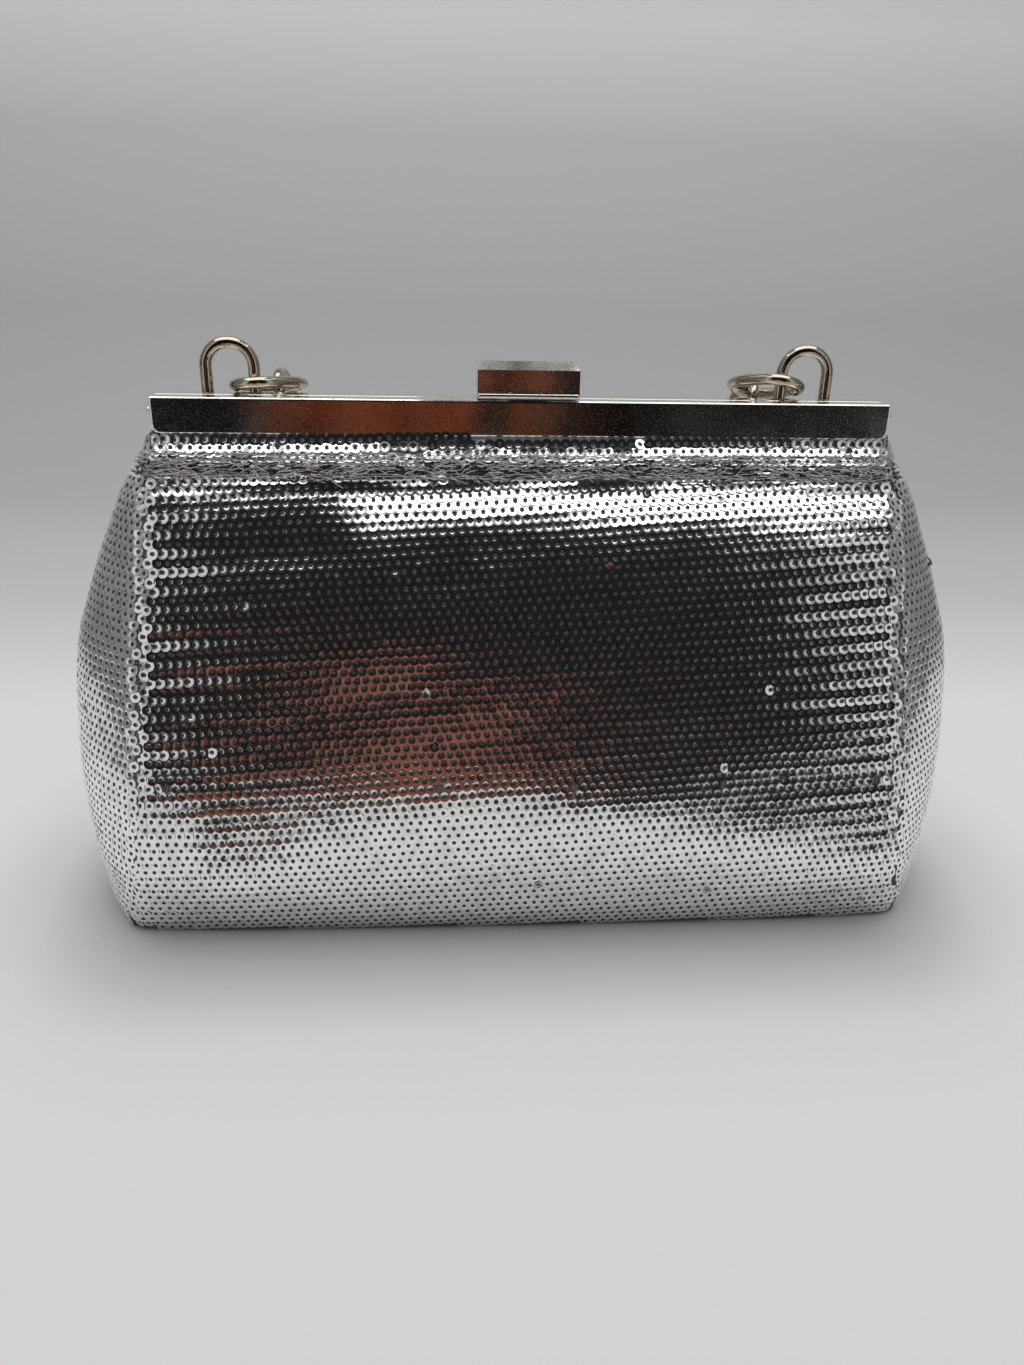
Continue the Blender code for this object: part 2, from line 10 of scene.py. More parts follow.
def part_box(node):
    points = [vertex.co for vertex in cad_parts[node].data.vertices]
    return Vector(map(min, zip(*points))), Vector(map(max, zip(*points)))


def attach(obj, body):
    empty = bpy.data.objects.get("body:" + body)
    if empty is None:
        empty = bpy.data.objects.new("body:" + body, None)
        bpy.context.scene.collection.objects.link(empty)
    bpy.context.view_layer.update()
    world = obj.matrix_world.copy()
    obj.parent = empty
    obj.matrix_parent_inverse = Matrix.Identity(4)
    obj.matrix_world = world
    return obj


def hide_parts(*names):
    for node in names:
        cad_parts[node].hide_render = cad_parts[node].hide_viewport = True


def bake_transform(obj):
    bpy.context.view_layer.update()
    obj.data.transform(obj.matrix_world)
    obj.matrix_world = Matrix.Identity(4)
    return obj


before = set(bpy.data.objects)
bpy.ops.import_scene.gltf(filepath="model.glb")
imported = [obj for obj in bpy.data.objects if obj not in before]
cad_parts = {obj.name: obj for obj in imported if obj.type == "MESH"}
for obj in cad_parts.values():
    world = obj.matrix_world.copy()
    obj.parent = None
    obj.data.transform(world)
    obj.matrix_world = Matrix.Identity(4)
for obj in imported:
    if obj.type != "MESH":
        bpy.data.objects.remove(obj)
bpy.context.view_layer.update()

MM = 0.001

# camera
CAMERA_AT = (-0.0222, -0.2795, 0.1831)
CAMERA_PITCH = 22.88
CAMERA_YAW = 4.06
CAMERA_ROLL = -1.21
CAMERA_LENS = 27.03
SENSOR = 36.0

# body shape in millimetres, the same knots as the solids
BAR_BOTTOM = 137.3
HINGE_Z = 104.0
HALF_DEPTH = ((0, 29.5), (8, 33.3), (20, 36.2), (32, 37.5), (45, 37.2), (60, 35.0), (80, 30.4),
              (95, 26.4), (106, 22.9), (114, 19.8), (119, 17.3), (124, 14.1), (129, 10.9), (133, 8.3),
              (138, 5.5))
CORNER_X = ((0, 111.0), (8, 110.0), (20, 108.5), (40, 105.7), (60, 103.5), (80, 101.8),
            (95, 100.5), (108, 99.3), (118, 98.7), (128, 98.2), (138, 97.8))
SIDE_X = ((0, 119.0), (8, 124.0), (20, 127.0), (40, 128.0), (60, 127.0), (80, 124.5),
          (95, 119.5), (108, 114.3), (118, 109.5), (128, 103.5), (138, 98.6))
FRONT_CROWN = 0.03
EDGE_CROWN = 0.045
CORNER_ROUND = 5.0

# sequins, millimetres and degrees
SEQUIN_R = 1.55
SEQUIN_HOLE = 0.58
PITCH = 2.5
ROW = 2.36
ROW_RISE = 3.5
SHINGLE = 6.5
ALONG_TILT = 4.5
BAND = (127.6, 133.2)     # heights of the gathered band under the bar
BAND_PITCH = 1.3
BAND_TILT = 33.0
BAND_NOISE = 7.0
LOOSE_SHARE = 0.006       # part of the sequins that stand off the cloth
LOOSE_TILT = 12.0
FLOOR_GAP = 0.06
# low part of the front: place along the row, and the extra lean of the sequins there in degrees
LOW_SAG = ((-97, 0), (-91, 1.5), (-86, 7), (-75, 5), (-60, 2.5), (-42, -0.5), (-15, -2), (20, -2), (44, 0),
           (60, 2), (75, 4), (88, 7.5), (97, 9))
SEGMENTS = 10
KNOT_SIDES = 5
KNOT_R = 0.33

# studio, metres
CARD_Y = -0.66
# half sizes of the rectangle round the bag's foot from which the floor paper's painted contact shadow fades
# out
PAINTED_SHADOW_FOOTPRINT = (0.096, 0.028, 0.0)
# inner edge of the dark card lying on the floor, a painted shadow that only reflections see
FLOOR_EDGE = ((-0.165, -0.62), (-0.150, -0.30), (-0.128, -0.21), (-0.104, -0.25), (-0.078, -0.42),
              (-0.045, -0.56), (0.0, -0.60), (0.045, -0.56), (0.080, -0.42), (0.104, -0.24),
              (0.130, -0.185), (0.152, -0.25), (0.170, -0.62))

# chain and staple wire, metres
WIRE_R = 0.0015
LINK_STRAIGHT = 0.0032
LINK_BEND = 0.0063
STAPLE_SWELL = 1.06


# ---------------------------------------------------------------- small helpers
def knot_value(knots, z):
    n = len(knots)
    if z <= knots[0][0]:
        return knots[0][1]
    if z >= knots[-1][0]:
        return knots[-1][1]
    i = 0
    while knots[i + 1][0] < z:
        i += 1
    z0, v0 = knots[i]
    z1, v1 = knots[i + 1]
    h = z1 - z0
    before = knots[max(i - 1, 0)]
    after = knots[min(i + 2, n - 1)]
    m0 = (v1 - before[1]) / (z1 - before[0]) * h
    m1 = (after[1] - v0) / (after[0] - z0) * h
    t = (z - z0) / h
    return ((2 * t ** 3 - 3 * t ** 2 + 1) * v0 + (t ** 3 - 2 * t ** 2 + t) * m0
            + (3 * t ** 2 - 2 * t ** 3) * v1 + (t ** 3 - t ** 2) * m1)


def mesh_object(name, verts, faces, material, smooth=True):
    mesh = bpy.data.meshes.new(name)
    mesh.from_pydata([tuple(v) for v in verts], [], faces)
    mesh.materials.append(material)
    if smooth:
        mesh.shade_smooth()
    ob = bpy.data.objects.new(name, mesh)
    bpy.context.scene.collection.objects.link(ob)
    return ob


class Nodes:
    """Short way to build a material's node tree."""

    def __init__(self, name):
        self.mat = bpy.data.materials.new(name)
        self.mat.use_nodes = True
        self.tree = self.mat.node_tree
        self.shader = self.tree.nodes["Principled BSDF"]

    def add(self, kind, **values):
        node = self.tree.nodes.new(kind)
        for key, value in values.items():
            if hasattr(node, key):
                setattr(node, key, value)
            else:
                node.inputs[key.replace("_", " ")].default_value = value
        return node

    def link(self, a, b):
        self.tree.links.new(a, b)

    def set(self, **values):
        for key, value in values.items():
            self.shader.inputs[key.replace("_", " ")].default_value = value

    def coords(self, scale=1.0):
        tex = self.add("ShaderNodeTexCoord")
        mapping = self.add("ShaderNodeMapping")
        mapping.inputs["Scale"].default_value = (scale, scale, scale)
        self.link(tex.outputs["Object"], mapping.inputs["Vector"])
        return mapping.outputs["Vector"]

    def noise(self, vector, scale, detail=3.0, rough=0.5):
        node = self.add("ShaderNodeTexNoise")
        node.inputs["Scale"].default_value = scale
        node.inputs["Detail"].default_value = detail
        node.inputs["Roughness"].default_value = rough
        self.link(vector, node.inputs["Vector"])
        return node.outputs["Fac"]

    def ramp(self, fac, stops):
        node = self.add("ShaderNodeValToRGB")
        elements = node.color_ramp.elements
        while len(elements) < len(stops):
            elements.new(0.5)
        for element, (pos, colour) in zip(elements, stops):
            element.position = pos
            element.color = colour
        self.link(fac, node.inputs["Fac"])
        return node.outputs["Color"]

    def bump(self, height, distance, strength=1.0):
        node = self.add("ShaderNodeBump")
        node.inputs["Strength"].default_value = strength
        node.inputs["Distance"].default_value = distance
        self.link(height, node.inputs["Height"])
        self.link(node.outputs["Normal"], self.shader.inputs["Normal"])
        return node


def grey(v, a=1.0):
    return (v, v, v, a)


# ---------------------------------------------------------------- materials
def polished_nickel(name, tint, scratches):
    """Worn plating: dark specks, small dull pits and fine scratches along the bar."""
    m = Nodes(name)
    m.set(Metallic=1.0, IOR=1.5)
    pos = m.coords()
    broad = m.noise(pos, 60.0, 4.0)
    specks = m.noise(pos, 1500.0, 2.0, 0.6)
    colour = m.ramp(specks, [(0.30, (tint[0] * 0.35, tint[1] * 0.33, tint[2] * 0.28, 1)),
                             (0.38, (tint[0] * 0.9, tint[1] * 0.9, tint[2] * 0.88, 1)),
                             (0.62, (tint[0], tint[1], tint[2], 1))])
    m.link(colour, m.shader.inputs["Base Color"])
    rough = m.ramp(broad, [(0.35, grey(0.05)), (0.7, grey(0.13))])
    worn = m.add("ShaderNodeMath", operation="MAXIMUM")
    m.link(rough, worn.inputs[0])
    pits = m.noise(pos, 4200.0, 2.0, 0.6)
    m.link(m.ramp(pits, [(0.345, grey(0.30)), (0.40, grey(0.0))]), worn.inputs[1])
    m.link(worn.outputs[0], m.shader.inputs["Roughness"])
    scratch = m.add("ShaderNodeMapping")
    scratch.inputs["Scale"].default_value = (12.0, 900.0, 900.0)
    m.link(pos, scratch.inputs["Vector"])
    lines = m.noise(scratch.outputs["Vector"], 1.0, 2.0)
    m.bump(lines, 0.00002, scratches)
    return m.mat


def plain_steel():
    m = Nodes("plain_steel")
    m.set(Metallic=1.0)
    pos = m.coords()
    tone = m.ramp(m.noise(pos, 300.0), [(0.3, grey(0.38)), (0.7, grey(0.55))])
    m.link(tone, m.shader.inputs["Base Color"])
    rough = m.ramp(m.noise(pos, 900.0), [(0.3, grey(0.28)), (0.7, grey(0.42))])
    m.link(rough, m.shader.inputs["Roughness"])
    return m.mat


def sequin_foil():
    m = Nodes("sequin_foil")
    m.set(Metallic=1.0, Roughness=0.14)
    tone = m.add("ShaderNodeAttribute", attribute_name="tone")
    colour = m.ramp(tone.outputs["Fac"], [(0.0, (0.80, 0.80, 0.79, 1)), (0.5, (0.90, 0.90, 0.895, 1)),
                                          (1.0, (0.96, 0.96, 0.955, 1))])
    m.link(colour, m.shader.inputs["Base Color"])
    pos = m.coords()
    m.bump(m.noise(pos, 700.0, 2.0), 0.00003, 0.5)
    return m.mat


def thread():
    m = Nodes("thread_knot")
    m.set(Roughness=0.55)
    m.shader.inputs["Sheen Weight"].default_value = 0.3
    pos = m.coords()
    tone = m.ramp(m.noise(pos, 2500.0), [(0.3, grey(0.03)), (0.7, grey(0.12))])
    m.link(tone, m.shader.inputs["Base Color"])
    return m.mat


def woven(name, dark, light, thread_size, roughness, sheen=0.2):
    m = Nodes(name)
    m.set(Roughness=roughness)
    m.shader.inputs["Sheen Weight"].default_value = sheen
    pos = m.coords()
    waves = []
    for direction in ("X", "Z"):
        wave = m.add("ShaderNodeTexWave", bands_direction=direction)
        wave.inputs["Scale"].default_value = 1.0 / thread_size / 3.1416 * 0.5
        wave.inputs["Distortion"].default_value = 0.6
        wave.inputs["Detail"].default_value = 1.0
        m.link(pos, wave.inputs["Vector"])
        waves.append(wave.outputs["Fac"])
    mix = m.add("ShaderNodeMath", operation="MULTIPLY")
    m.link(waves[0], mix.inputs[0])
    m.link(waves[1], mix.inputs[1])
    slub = m.noise(pos, 120.0, 3.0)
    both = m.add("ShaderNodeMath", operation="ADD")
    m.link(mix.outputs[0], both.inputs[0])
    m.link(slub, both.inputs[1])
    colour = m.ramp(both.outputs[0], [(0.35, dark), (1.0, light)])
    m.link(colour, m.shader.inputs["Base Color"])
    m.bump(mix.outputs[0], thread_size * 0.3, 0.8)
    return m.mat


def satin():
    m = Nodes("grey_satin")
    m.set(Roughness=0.38)
    m.shader.inputs["Sheen Weight"].default_value = 0.4
    m.shader.inputs["Anisotropic"].default_value = 0.5
    pos = m.coords()
    # painted fold shading: the satin's colour goes lighter and darker in soft random patches
    fold = m.noise(pos, 35.0, 3.0)
    m.link(m.ramp(fold, [(0.3, (0.20, 0.20, 0.215, 1)), (0.7, (0.34, 0.34, 0.36, 1))]),
           m.shader.inputs["Base Color"])
    fine = m.add("ShaderNodeMapping")
    fine.inputs["Scale"].default_value = (200.0, 200.0, 3000.0)
    m.link(pos, fine.inputs["Vector"])
    m.bump(m.noise(fine.outputs["Vector"], 1.0), 0.00005, 0.6)
    return m.mat


def fibre():
    m = Nodes("loose_thread")
    m.set(Roughness=0.5)
    m.shader.inputs["Sheen Weight"].default_value = 0.5
    pos = m.coords()
    m.link(m.ramp(m.noise(pos, 900.0), [(0.3, (0.34, 0.33, 0.32, 1)), (0.7, (0.70, 0.68, 0.65, 1))]),
           m.shader.inputs["Base Color"])
    return m.mat


NICKEL = polished_nickel("polished_nickel", (0.80, 0.775, 0.73), 0.5)
CHAIN = polished_nickel("chain_nickel", (0.50, 0.44, 0.355), 0.25)
STEEL = plain_steel()
FOIL = sequin_foil()
THREAD = thread()
CLOTH = woven("grey_ground_cloth", (0.05, 0.05, 0.055, 1), (0.20, 0.20, 0.205, 1), 0.0005, 0.8)
BASE_CLOTH = woven("base_cloth", (0.12, 0.12, 0.125, 1), (0.30, 0.30, 0.31, 1), 0.0006, 0.85)
SATIN = satin()
FIBRE = fibre()
BOARD = woven("board_cloth", (0.16, 0.15, 0.14, 1), (0.34, 0.32, 0.30, 1), 0.0008, 0.9)


# ---------------------------------------------------------------- body surface
def plan_half(z, inset=0.0):
    """Right half of the plan at height z, from front centre to side middle, and the corner's place on it."""
    corner = knot_value(CORNER_X, z) - inset
    bulge = knot_value(SIDE_X, z) - knot_value(CORNER_X, z)
    half = knot_value(HALF_DEPTH, z) - inset
    low = half * (1.0 - FRONT_CROWN - EDGE_CROWN)
    raw = [(corner * u, -half * (1.0 - FRONT_CROWN * u * u - EDGE_CROWN * u ** 7))
           for u in np.linspace(0, 1, 25)]
    raw += [(corner + bulge * (1.0 - v * v), v * low) for v in np.linspace(-1, 0, 17)[1:]]
    pts = np.array(raw)
    # round the corner by sliding averages over a short length each side of it
    seg = np.hypot(*np.diff(pts, axis=0).T)
    s = np.concatenate([[0], np.cumsum(seg)])
    s_corner = s[24]
    dense = np.linspace(0, s[-1], 241)
    x = np.interp(dense, s, pts[:, 0])
    y = np.interp(dense, s, pts[:, 1])
    radius = min(CORNER_ROUND, low * 0.45)
    out = []
    for d, px, py in zip(dense, x, y):
        near = max(0.0, 1.0 - abs(d - s_corner) / (radius * 1.6))
        if near > 0.0:
            w = radius * near
            samples = np.linspace(d - w, d + w, 9)
            px = float(np.interp(samples, s, pts[:, 0]).mean())
            py = float(np.interp(samples, s, pts[:, 1]).mean())
        out.append((px, py))
    out = np.array(out)
    seg = np.hypot(*np.diff(out, axis=0).T)
    s2 = np.concatenate([[0], np.cumsum(seg)])
    corner_s = float(np.interp(s_corner, dense, s2))
    return out, s2, corner_s


def settle(p):
    """Small uneven pulls of the cloth: shoulder ears, gathers under the bar, slack near the base."""
    x, y, z = p[:, 0], p[:, 1], p[:, 2]
    out = p.copy()
    ear = np.exp(-((z - 124.5) / 6.5) ** 2) * np.clip((np.abs(x) - 84.0) / 14.0, 0, 1) ** 2
    out[:, 0] += np.where(x < 0, -1.9, 0.9) * ear
    out[:, 1] += np.sign(y) * 0.5 * ear
    ridge = np.exp(-((z - 127.4) / 1.9) ** 2) - 0.8 * np.exp(-((z - 131.0) / 1.6) ** 2)
    front = np.clip(np.abs(y) / 4.0, 0, 1)
    out[:, 1] += np.sign(y) * 0.55 * ridge * front * (1.0 + 0.35 * np.sin(x / 17.0 + 1.3) * np.sin(x / 41.0))
    gather = np.exp(-((z - 121.0) / 12.0) ** 2) * front
    pull = 0.30 * np.sin(x / 6.1 + 0.6 * np.sin(z / 9.0)) * np.sin(x / 23.0 + 0.5)
    out[:, 1] += np.sign(y) * gather * pull
    slack = np.exp(-((z - 66.0) / 38.0) ** 2) * front
    out[:, 1] += np.sign(y) * slack * (0.55 * np.sin(x / 30.0 + 0.9) * np.sin(z / 21.0 + x / 60.0))
    hem = np.exp(-((z - 3.0) / 6.0) ** 2)
    out[:, 0] += np.sign(x) * 1.6 * hem * np.clip((np.abs(x) - 70.0) / 40.0, 0, 1)
    return out


class Surface:
    """Table of body positions; front patch and side patch by arc length."""

    def __init__(self, z_low, z_high, count, inset=0.0):
        self.z = np.linspace(z_low, z_high, count)
        half = np.array([knot_value(HALF_DEPTH, z) for z in self.z])
        step = np.hypot(np.diff(self.z), np.diff(half))
        self.t = np.concatenate([[0], np.cumsum(step)])
        self.plans = [plan_half(z, inset) for z in self.z]
        self.front_half = np.array([p[2] for p in self.plans])
        self.side_half = np.array([p[1][-1] - p[2] for p in self.plans])

    def _row(self, k, side_patch, s):
        pts, s2, corner = self.plans[k]
        if side_patch:
            along = corner + self.side_half[k] - np.abs(s)
            along = np.clip(along, 0, s2[-1])
            x = np.interp(along, s2, pts[:, 0])
            y = np.interp(along, s2, pts[:, 1]) * np.where(s > 0, -1.0, 1.0)
            return x, y
        along = np.clip(np.abs(s), 0, s2[-1])
        x = np.interp(along, s2, pts[:, 0]) * np.sign(s)
        y = np.interp(along, s2, pts[:, 1])
        return x, y

    def at(self, s, t, side_patch=False):
        """Positions (n,3) in millimetres; s across in mm, t up the surface in mm."""
        s = np.asarray(s, float)
        t = np.asarray(t, float)
        zi = np.interp(t, self.t, np.arange(len(self.z)))
        k0 = np.clip(np.floor(zi).astype(int), 0, len(self.z) - 2)
        f = zi - k0
        limit = self.side_half if side_patch else self.front_half
        out = np.zeros((len(s), 3))
        for k in np.unique(k0):
            pick = k0 == k
            span = limit[k] * (1 - f[pick]) + limit[k + 1] * f[pick]
            rel = s[pick] / span
            xa, ya = self._row(k, side_patch, rel * limit[k])
            xb, yb = self._row(k + 1, side_patch, rel * limit[k + 1])
            out[pick, 0] = xa * (1 - f[pick]) + xb * f[pick]
            out[pick, 1] = ya * (1 - f[pick]) + yb * f[pick]
            out[pick, 2] = self.z[k] * (1 - f[pick]) + self.z[k + 1] * f[pick]
        return settle(out)

    def frame_at(self, s, t, side_patch=False):
        e = 0.4
        p = self.at(s, t, side_patch)
        du = self.at(s + e, t, side_patch) - self.at(s - e, t, side_patch)
        dt = self.at(s, t + e, side_patch) - self.at(s, t - e, side_patch)
        du /= np.linalg.norm(du, axis=1)[:, None]
        n = np.cross(du, dt)
        n /= np.linalg.norm(n, axis=1)[:, None]
        return p, du, n


BODY = Surface(0.4, BAR_BOTTOM + 0.6, 90)


def grid_piece(name, side_patch, mirror, rows, cols, t0, t1, part=(-1.0, 1.0), offset=0.15, thickness=0.9):
    """Ground cloth following the body surface, thickened inwards; part is the share of its width."""
    ts = np.linspace(t0, t1, rows)
    verts = []
    limit = BODY.side_half if side_patch else BODY.front_half
    for t in ts:
        half = float(np.interp(t, BODY.t, limit))
        s = np.linspace(half * part[0], half * part[1], cols)
        p, _, n = BODY.frame_at(s, np.full(cols, t), side_patch)
        verts.append(p - n * offset)
    verts = np.concatenate(verts)
    verts = verts * np.array(mirror)
    faces = []
    flip = mirror[0] * mirror[1] < 0
    for r in range(rows - 1):
        for c in range(cols - 1):
            a = r * cols + c
            quad = (a, a + 1, a + cols + 1, a + cols)
            faces.append(quad[::-1] if flip else quad)
    ob = mesh_object(name, verts * MM, faces, CLOTH)
    solid = ob.modifiers.new("thickness", "SOLIDIFY")
    solid.thickness = thickness * MM
    solid.offset = -1.0
    return ob


def sequin_template():
    """One sequin: a flat ring with its inner edge pressed in."""
    rings = [(SEQUIN_HOLE, -0.05), (SEQUIN_HOLE + 0.26, 0.0), (SEQUIN_R, 0.0)]
    verts = []
    for r, h in rings:
        for k in range(SEGMENTS):
            a = 2 * math.pi * k / SEGMENTS
            verts.append((r * math.cos(a), r * math.sin(a), h))
    faces = []
    for ring in range(len(rings) - 1):
        for k in range(SEGMENTS):
            j = (k + 1) % SEGMENTS
            a = ring * SEGMENTS
            b = a + SEGMENTS
            faces.append((a + k, b + k, b + j, a + j))
    return np.array(verts), np.array(faces)


def knot_template():
    """Low thread cone in the middle of a sequin."""
    verts = [(0.0, 0.0, -0.02)]
    for k in range(KNOT_SIDES):
        a = 2 * math.pi * k / KNOT_SIDES
        verts.append((KNOT_R * math.cos(a), KNOT_R * math.sin(a), -0.24))
    faces = [(0, 1 + k, 1 + (k + 1) % KNOT_SIDES) for k in range(KNOT_SIDES)]
    return np.array(verts), np.array(faces)


def row_group(rng, seed, limit, t0, t1, rise, spacing, tilt, tilt_noise, pitch):
    """Sequin places on staggered rows: across, up, lean outwards at the foot and lean sideways."""
    widest = float(limit.max()) + 4.0
    slope = math.tan(math.radians(rise))
    first = int(math.floor((t0 - widest * abs(slope)) / spacing)) - 1
    last = int(math.ceil((t1 + widest * abs(slope)) / spacing)) + 1
    rows = []
    for row in range(first, last + 1):
        count = int(2 * widest / pitch) + 2
        odd = row % 2
        base = (np.arange(count) - count / 2.0) * pitch + (pitch / 2.0 if odd else 0.0)
        base = base + rng.normal(0.0, 0.25)
        s = base + rng.normal(0.0, 0.07, count)
        wave = 0.30 * np.sin(base / 31.0 + row * 0.13 + seed) + 0.14 * np.sin(base / 11.0 + row * 0.7)
        t = row * spacing + s * slope + rng.normal(0.0, 0.06, count) + wave
        near_edge = np.clip((np.abs(base) - 52.0) / 34.0, 0, 1)
        swing = rng.normal(0.0, 1.0) + 2.2 * np.sin(base / 15.0 + rng.random() * 6.3)
        along = (1 if odd else -1) * ALONG_TILT * (0.12 + 0.88 * near_edge) + swing * near_edge
        drift = 1.7 * np.sin(base / 27.0 + 0.35 * row) + 1.1 * np.sin(base / 11.0 - 0.6 * row + seed)
        lean = tilt + drift + (0.4 if odd else -0.4) + rng.normal(0.0, 0.5)
        lean = lean + rng.normal(0, tilt_noise, count)
        rows.append(np.stack([s, t, lean, along + rng.normal(0, 0.7, count)]))
    return np.concatenate(rows, axis=1)


def extra_lean(s, z, side_patch):
    """Change of lean in degrees: first rows under the bar, upper left of a front patch, low part of it."""
    change = -15.0 * np.clip((z - 134.6) / 1.2, 0, 1) * (z > BAND[1])
    if not side_patch:
        far_left = np.clip((-42.0 - s) / 14.0, 0, 1) * np.clip((z - 108.0) / 6.0, 0, 1)
        change = change - 9.0 * far_left * np.clip((124.2 - z) / 1.5, 0, 1)
        sag = np.interp(s, *zip(*LOW_SAG))
        change = change + sag * np.clip((z - 12.0) / 8.0, 0, 1) * np.clip((52.0 - z) / 8.0, 0, 1)
    return change


def sequin_places(rng, seed, side_patch, t0, t1, rise, edge, part):
    """Places and leans of all sequins between two distances up the surface, in three zones."""
    limit = BODY.side_half if side_patch else BODY.front_half
    band_low, band_high = (float(np.interp(z, BODY.z, BODY.t)) for z in BAND)
    zones = [(t0, min(t1, band_low), rise, ROW, SHINGLE, 0.8, PITCH)]
    if t1 > band_low:
        zones.append((band_low, band_high, 0.4, BAND_PITCH, BAND_TILT, BAND_NOISE, PITCH * 0.9))
        zones.append((band_high, t1, 0.8, ROW * 0.9, SHINGLE, 3.0, PITCH))
    groups = []
    for low, high, *how in zones:
        group = row_group(rng, seed, limit, low, high, *how)
        start = low + (0.9 if low == t0 else 0.0)
        groups.append(group[:, (group[1] > start) & (group[1] <= high - (0.6 if high == t1 else 0.0))])
    s, t, lean, along = np.concatenate(groups, axis=1)
    lean = lean + extra_lean(s, np.interp(t, BODY.t, BODY.z), side_patch)
    half = np.interp(t, BODY.t, limit)
    left_gap = edge if part[0] < -0.5 else 0.9
    right_gap = edge if part[1] > 0.5 else 0.9
    keep = (s < half * part[1] - right_gap) & (s > half * part[0] + left_gap)
    return s[keep], t[keep], np.radians(lean[keep]), np.radians(along[keep])


def copies(template, centre, across, upwards, normal):
    """The template's points set out on each centre, as (count, points, 3)."""
    return (centre[:, None, :] + across[:, None, :] * template[None, :, 0:1]
            + upwards[:, None, :] * template[None, :, 1:2] + normal[:, None, :] * template[None, :, 2:3])


def sequin_mesh(name, verts, quads, tris, tones):
    """One mesh of foil rings (quads) and thread knots (triangles), with a tone for each point."""
    mesh = bpy.data.meshes.new(name)
    nq, nt = len(quads), len(tris)
    mesh.vertices.add(len(verts))
    mesh.vertices.foreach_set("co", verts.astype(np.float32).ravel())
    mesh.loops.add(nq * 4 + nt * 3)
    corners = np.concatenate([quads.ravel(), tris.ravel()])
    mesh.loops.foreach_set("vertex_index", corners.astype(np.int32))
    mesh.polygons.add(nq + nt)
    starts = np.concatenate([np.arange(nq) * 4, nq * 4 + np.arange(nt) * 3])
    mesh.polygons.foreach_set("loop_start", starts.astype(np.int32))
    mesh.materials.append(FOIL)
    mesh.materials.append(THREAD)
    kinds = np.concatenate([np.zeros(nq), np.ones(nt)])
    mesh.polygons.foreach_set("material_index", kinds.astype(np.int32))
    mesh.update(calc_edges=True)
    tone = mesh.attributes.new("tone", "FLOAT", "POINT")
    tone.data.foreach_set("value", tones.astype(np.float32))
    ob = bpy.data.objects.new(name, mesh)
    bpy.context.scene.collection.objects.link(ob)
    return ob


def sequins(name, side_patch, mirror, t0, t1, seed, rise=ROW_RISE, edge=0.2, part=(-1.0, 1.0)):
    """Staggered rows of overlapping sequins with their thread knots."""
    rng = np.random.default_rng(seed)
    s, t, lean, along = sequin_places(rng, seed, side_patch, t0, t1, rise, edge, part)
    p, u, n = BODY.frame_at(s, t, side_patch)
    up = np.cross(n, u)
    count = len(s)
    loose = rng.random(count) < LOOSE_SHARE
    lean = np.where(loose, lean + np.radians(rng.normal(0, LOOSE_TILT, count)), lean)
    along = np.where(loose, along + np.radians(rng.normal(0, LOOSE_TILT, count)), along)
    normal = n + up * np.tan(lean)[:, None] + u * np.tan(along)[:, None]
    normal /= np.linalg.norm(normal, axis=1)[:, None]
    ax = np.cross(up, normal)
    ax /= np.linalg.norm(ax, axis=1)[:, None]
    ay = np.cross(normal, ax)
    spin = rng.random(count) * 2 * math.pi / SEGMENTS
    c, d = np.cos(spin)[:, None], np.sin(spin)[:, None]
    across, upwards = ax * c + ay * d, ay * c - ax * d
    centre = p + n * (0.32 + rng.normal(0, 0.02, count))[:, None]
    ring_points, ring_faces = sequin_template()
    knot_points, knot_faces = knot_template()
    rings = copies(ring_points, centre, across, upwards, normal)
    knots = copies(knot_points, centre + rng.normal(0, 0.05, (count, 3)), across, upwards, normal)
    verts = np.concatenate([rings.reshape(-1, 3), knots.reshape(-1, 3)]) * np.array(mirror) * MM
    verts[:, 2] = np.maximum(verts[:, 2], FLOOR_GAP * MM)
    if mirror[0] * mirror[1] < 0:
        ring_faces = ring_faces[:, ::-1]
        knot_faces = knot_faces[:, ::-1]
    nth = np.arange(count)[:, None, None]
    quads = (ring_faces[None] + nth * len(ring_points)).reshape(-1, 4)
    tris = (knot_faces[None] + count * len(ring_points) + nth * len(knot_points)).reshape(-1, 3)
    tones = np.concatenate([np.repeat(rng.random(count), len(ring_points)),
                            np.repeat(rng.random(count), len(knot_points))])
    return sequin_mesh(name, verts, quads, tris, tones)


def seat(ob, body, replaced=()):
    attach(ob, body)
    if replaced:
        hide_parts(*replaced)
    return ob


T_TOP = float(BODY.t[-1])
T_SPLIT = float(np.interp(100.0, BODY.z, BODY.t))
T_HALF = T_SPLIT * 0.5
FRONT = (1, 1, 1)
REAR = (-1, -1, 1)
LEFT = (-1, 1, 1)
RIGHT = (1, 1, 1)


def to_front_frame(ob, replaced=()):
    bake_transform(ob)
    if replaced:
        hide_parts(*replaced)
    return ob


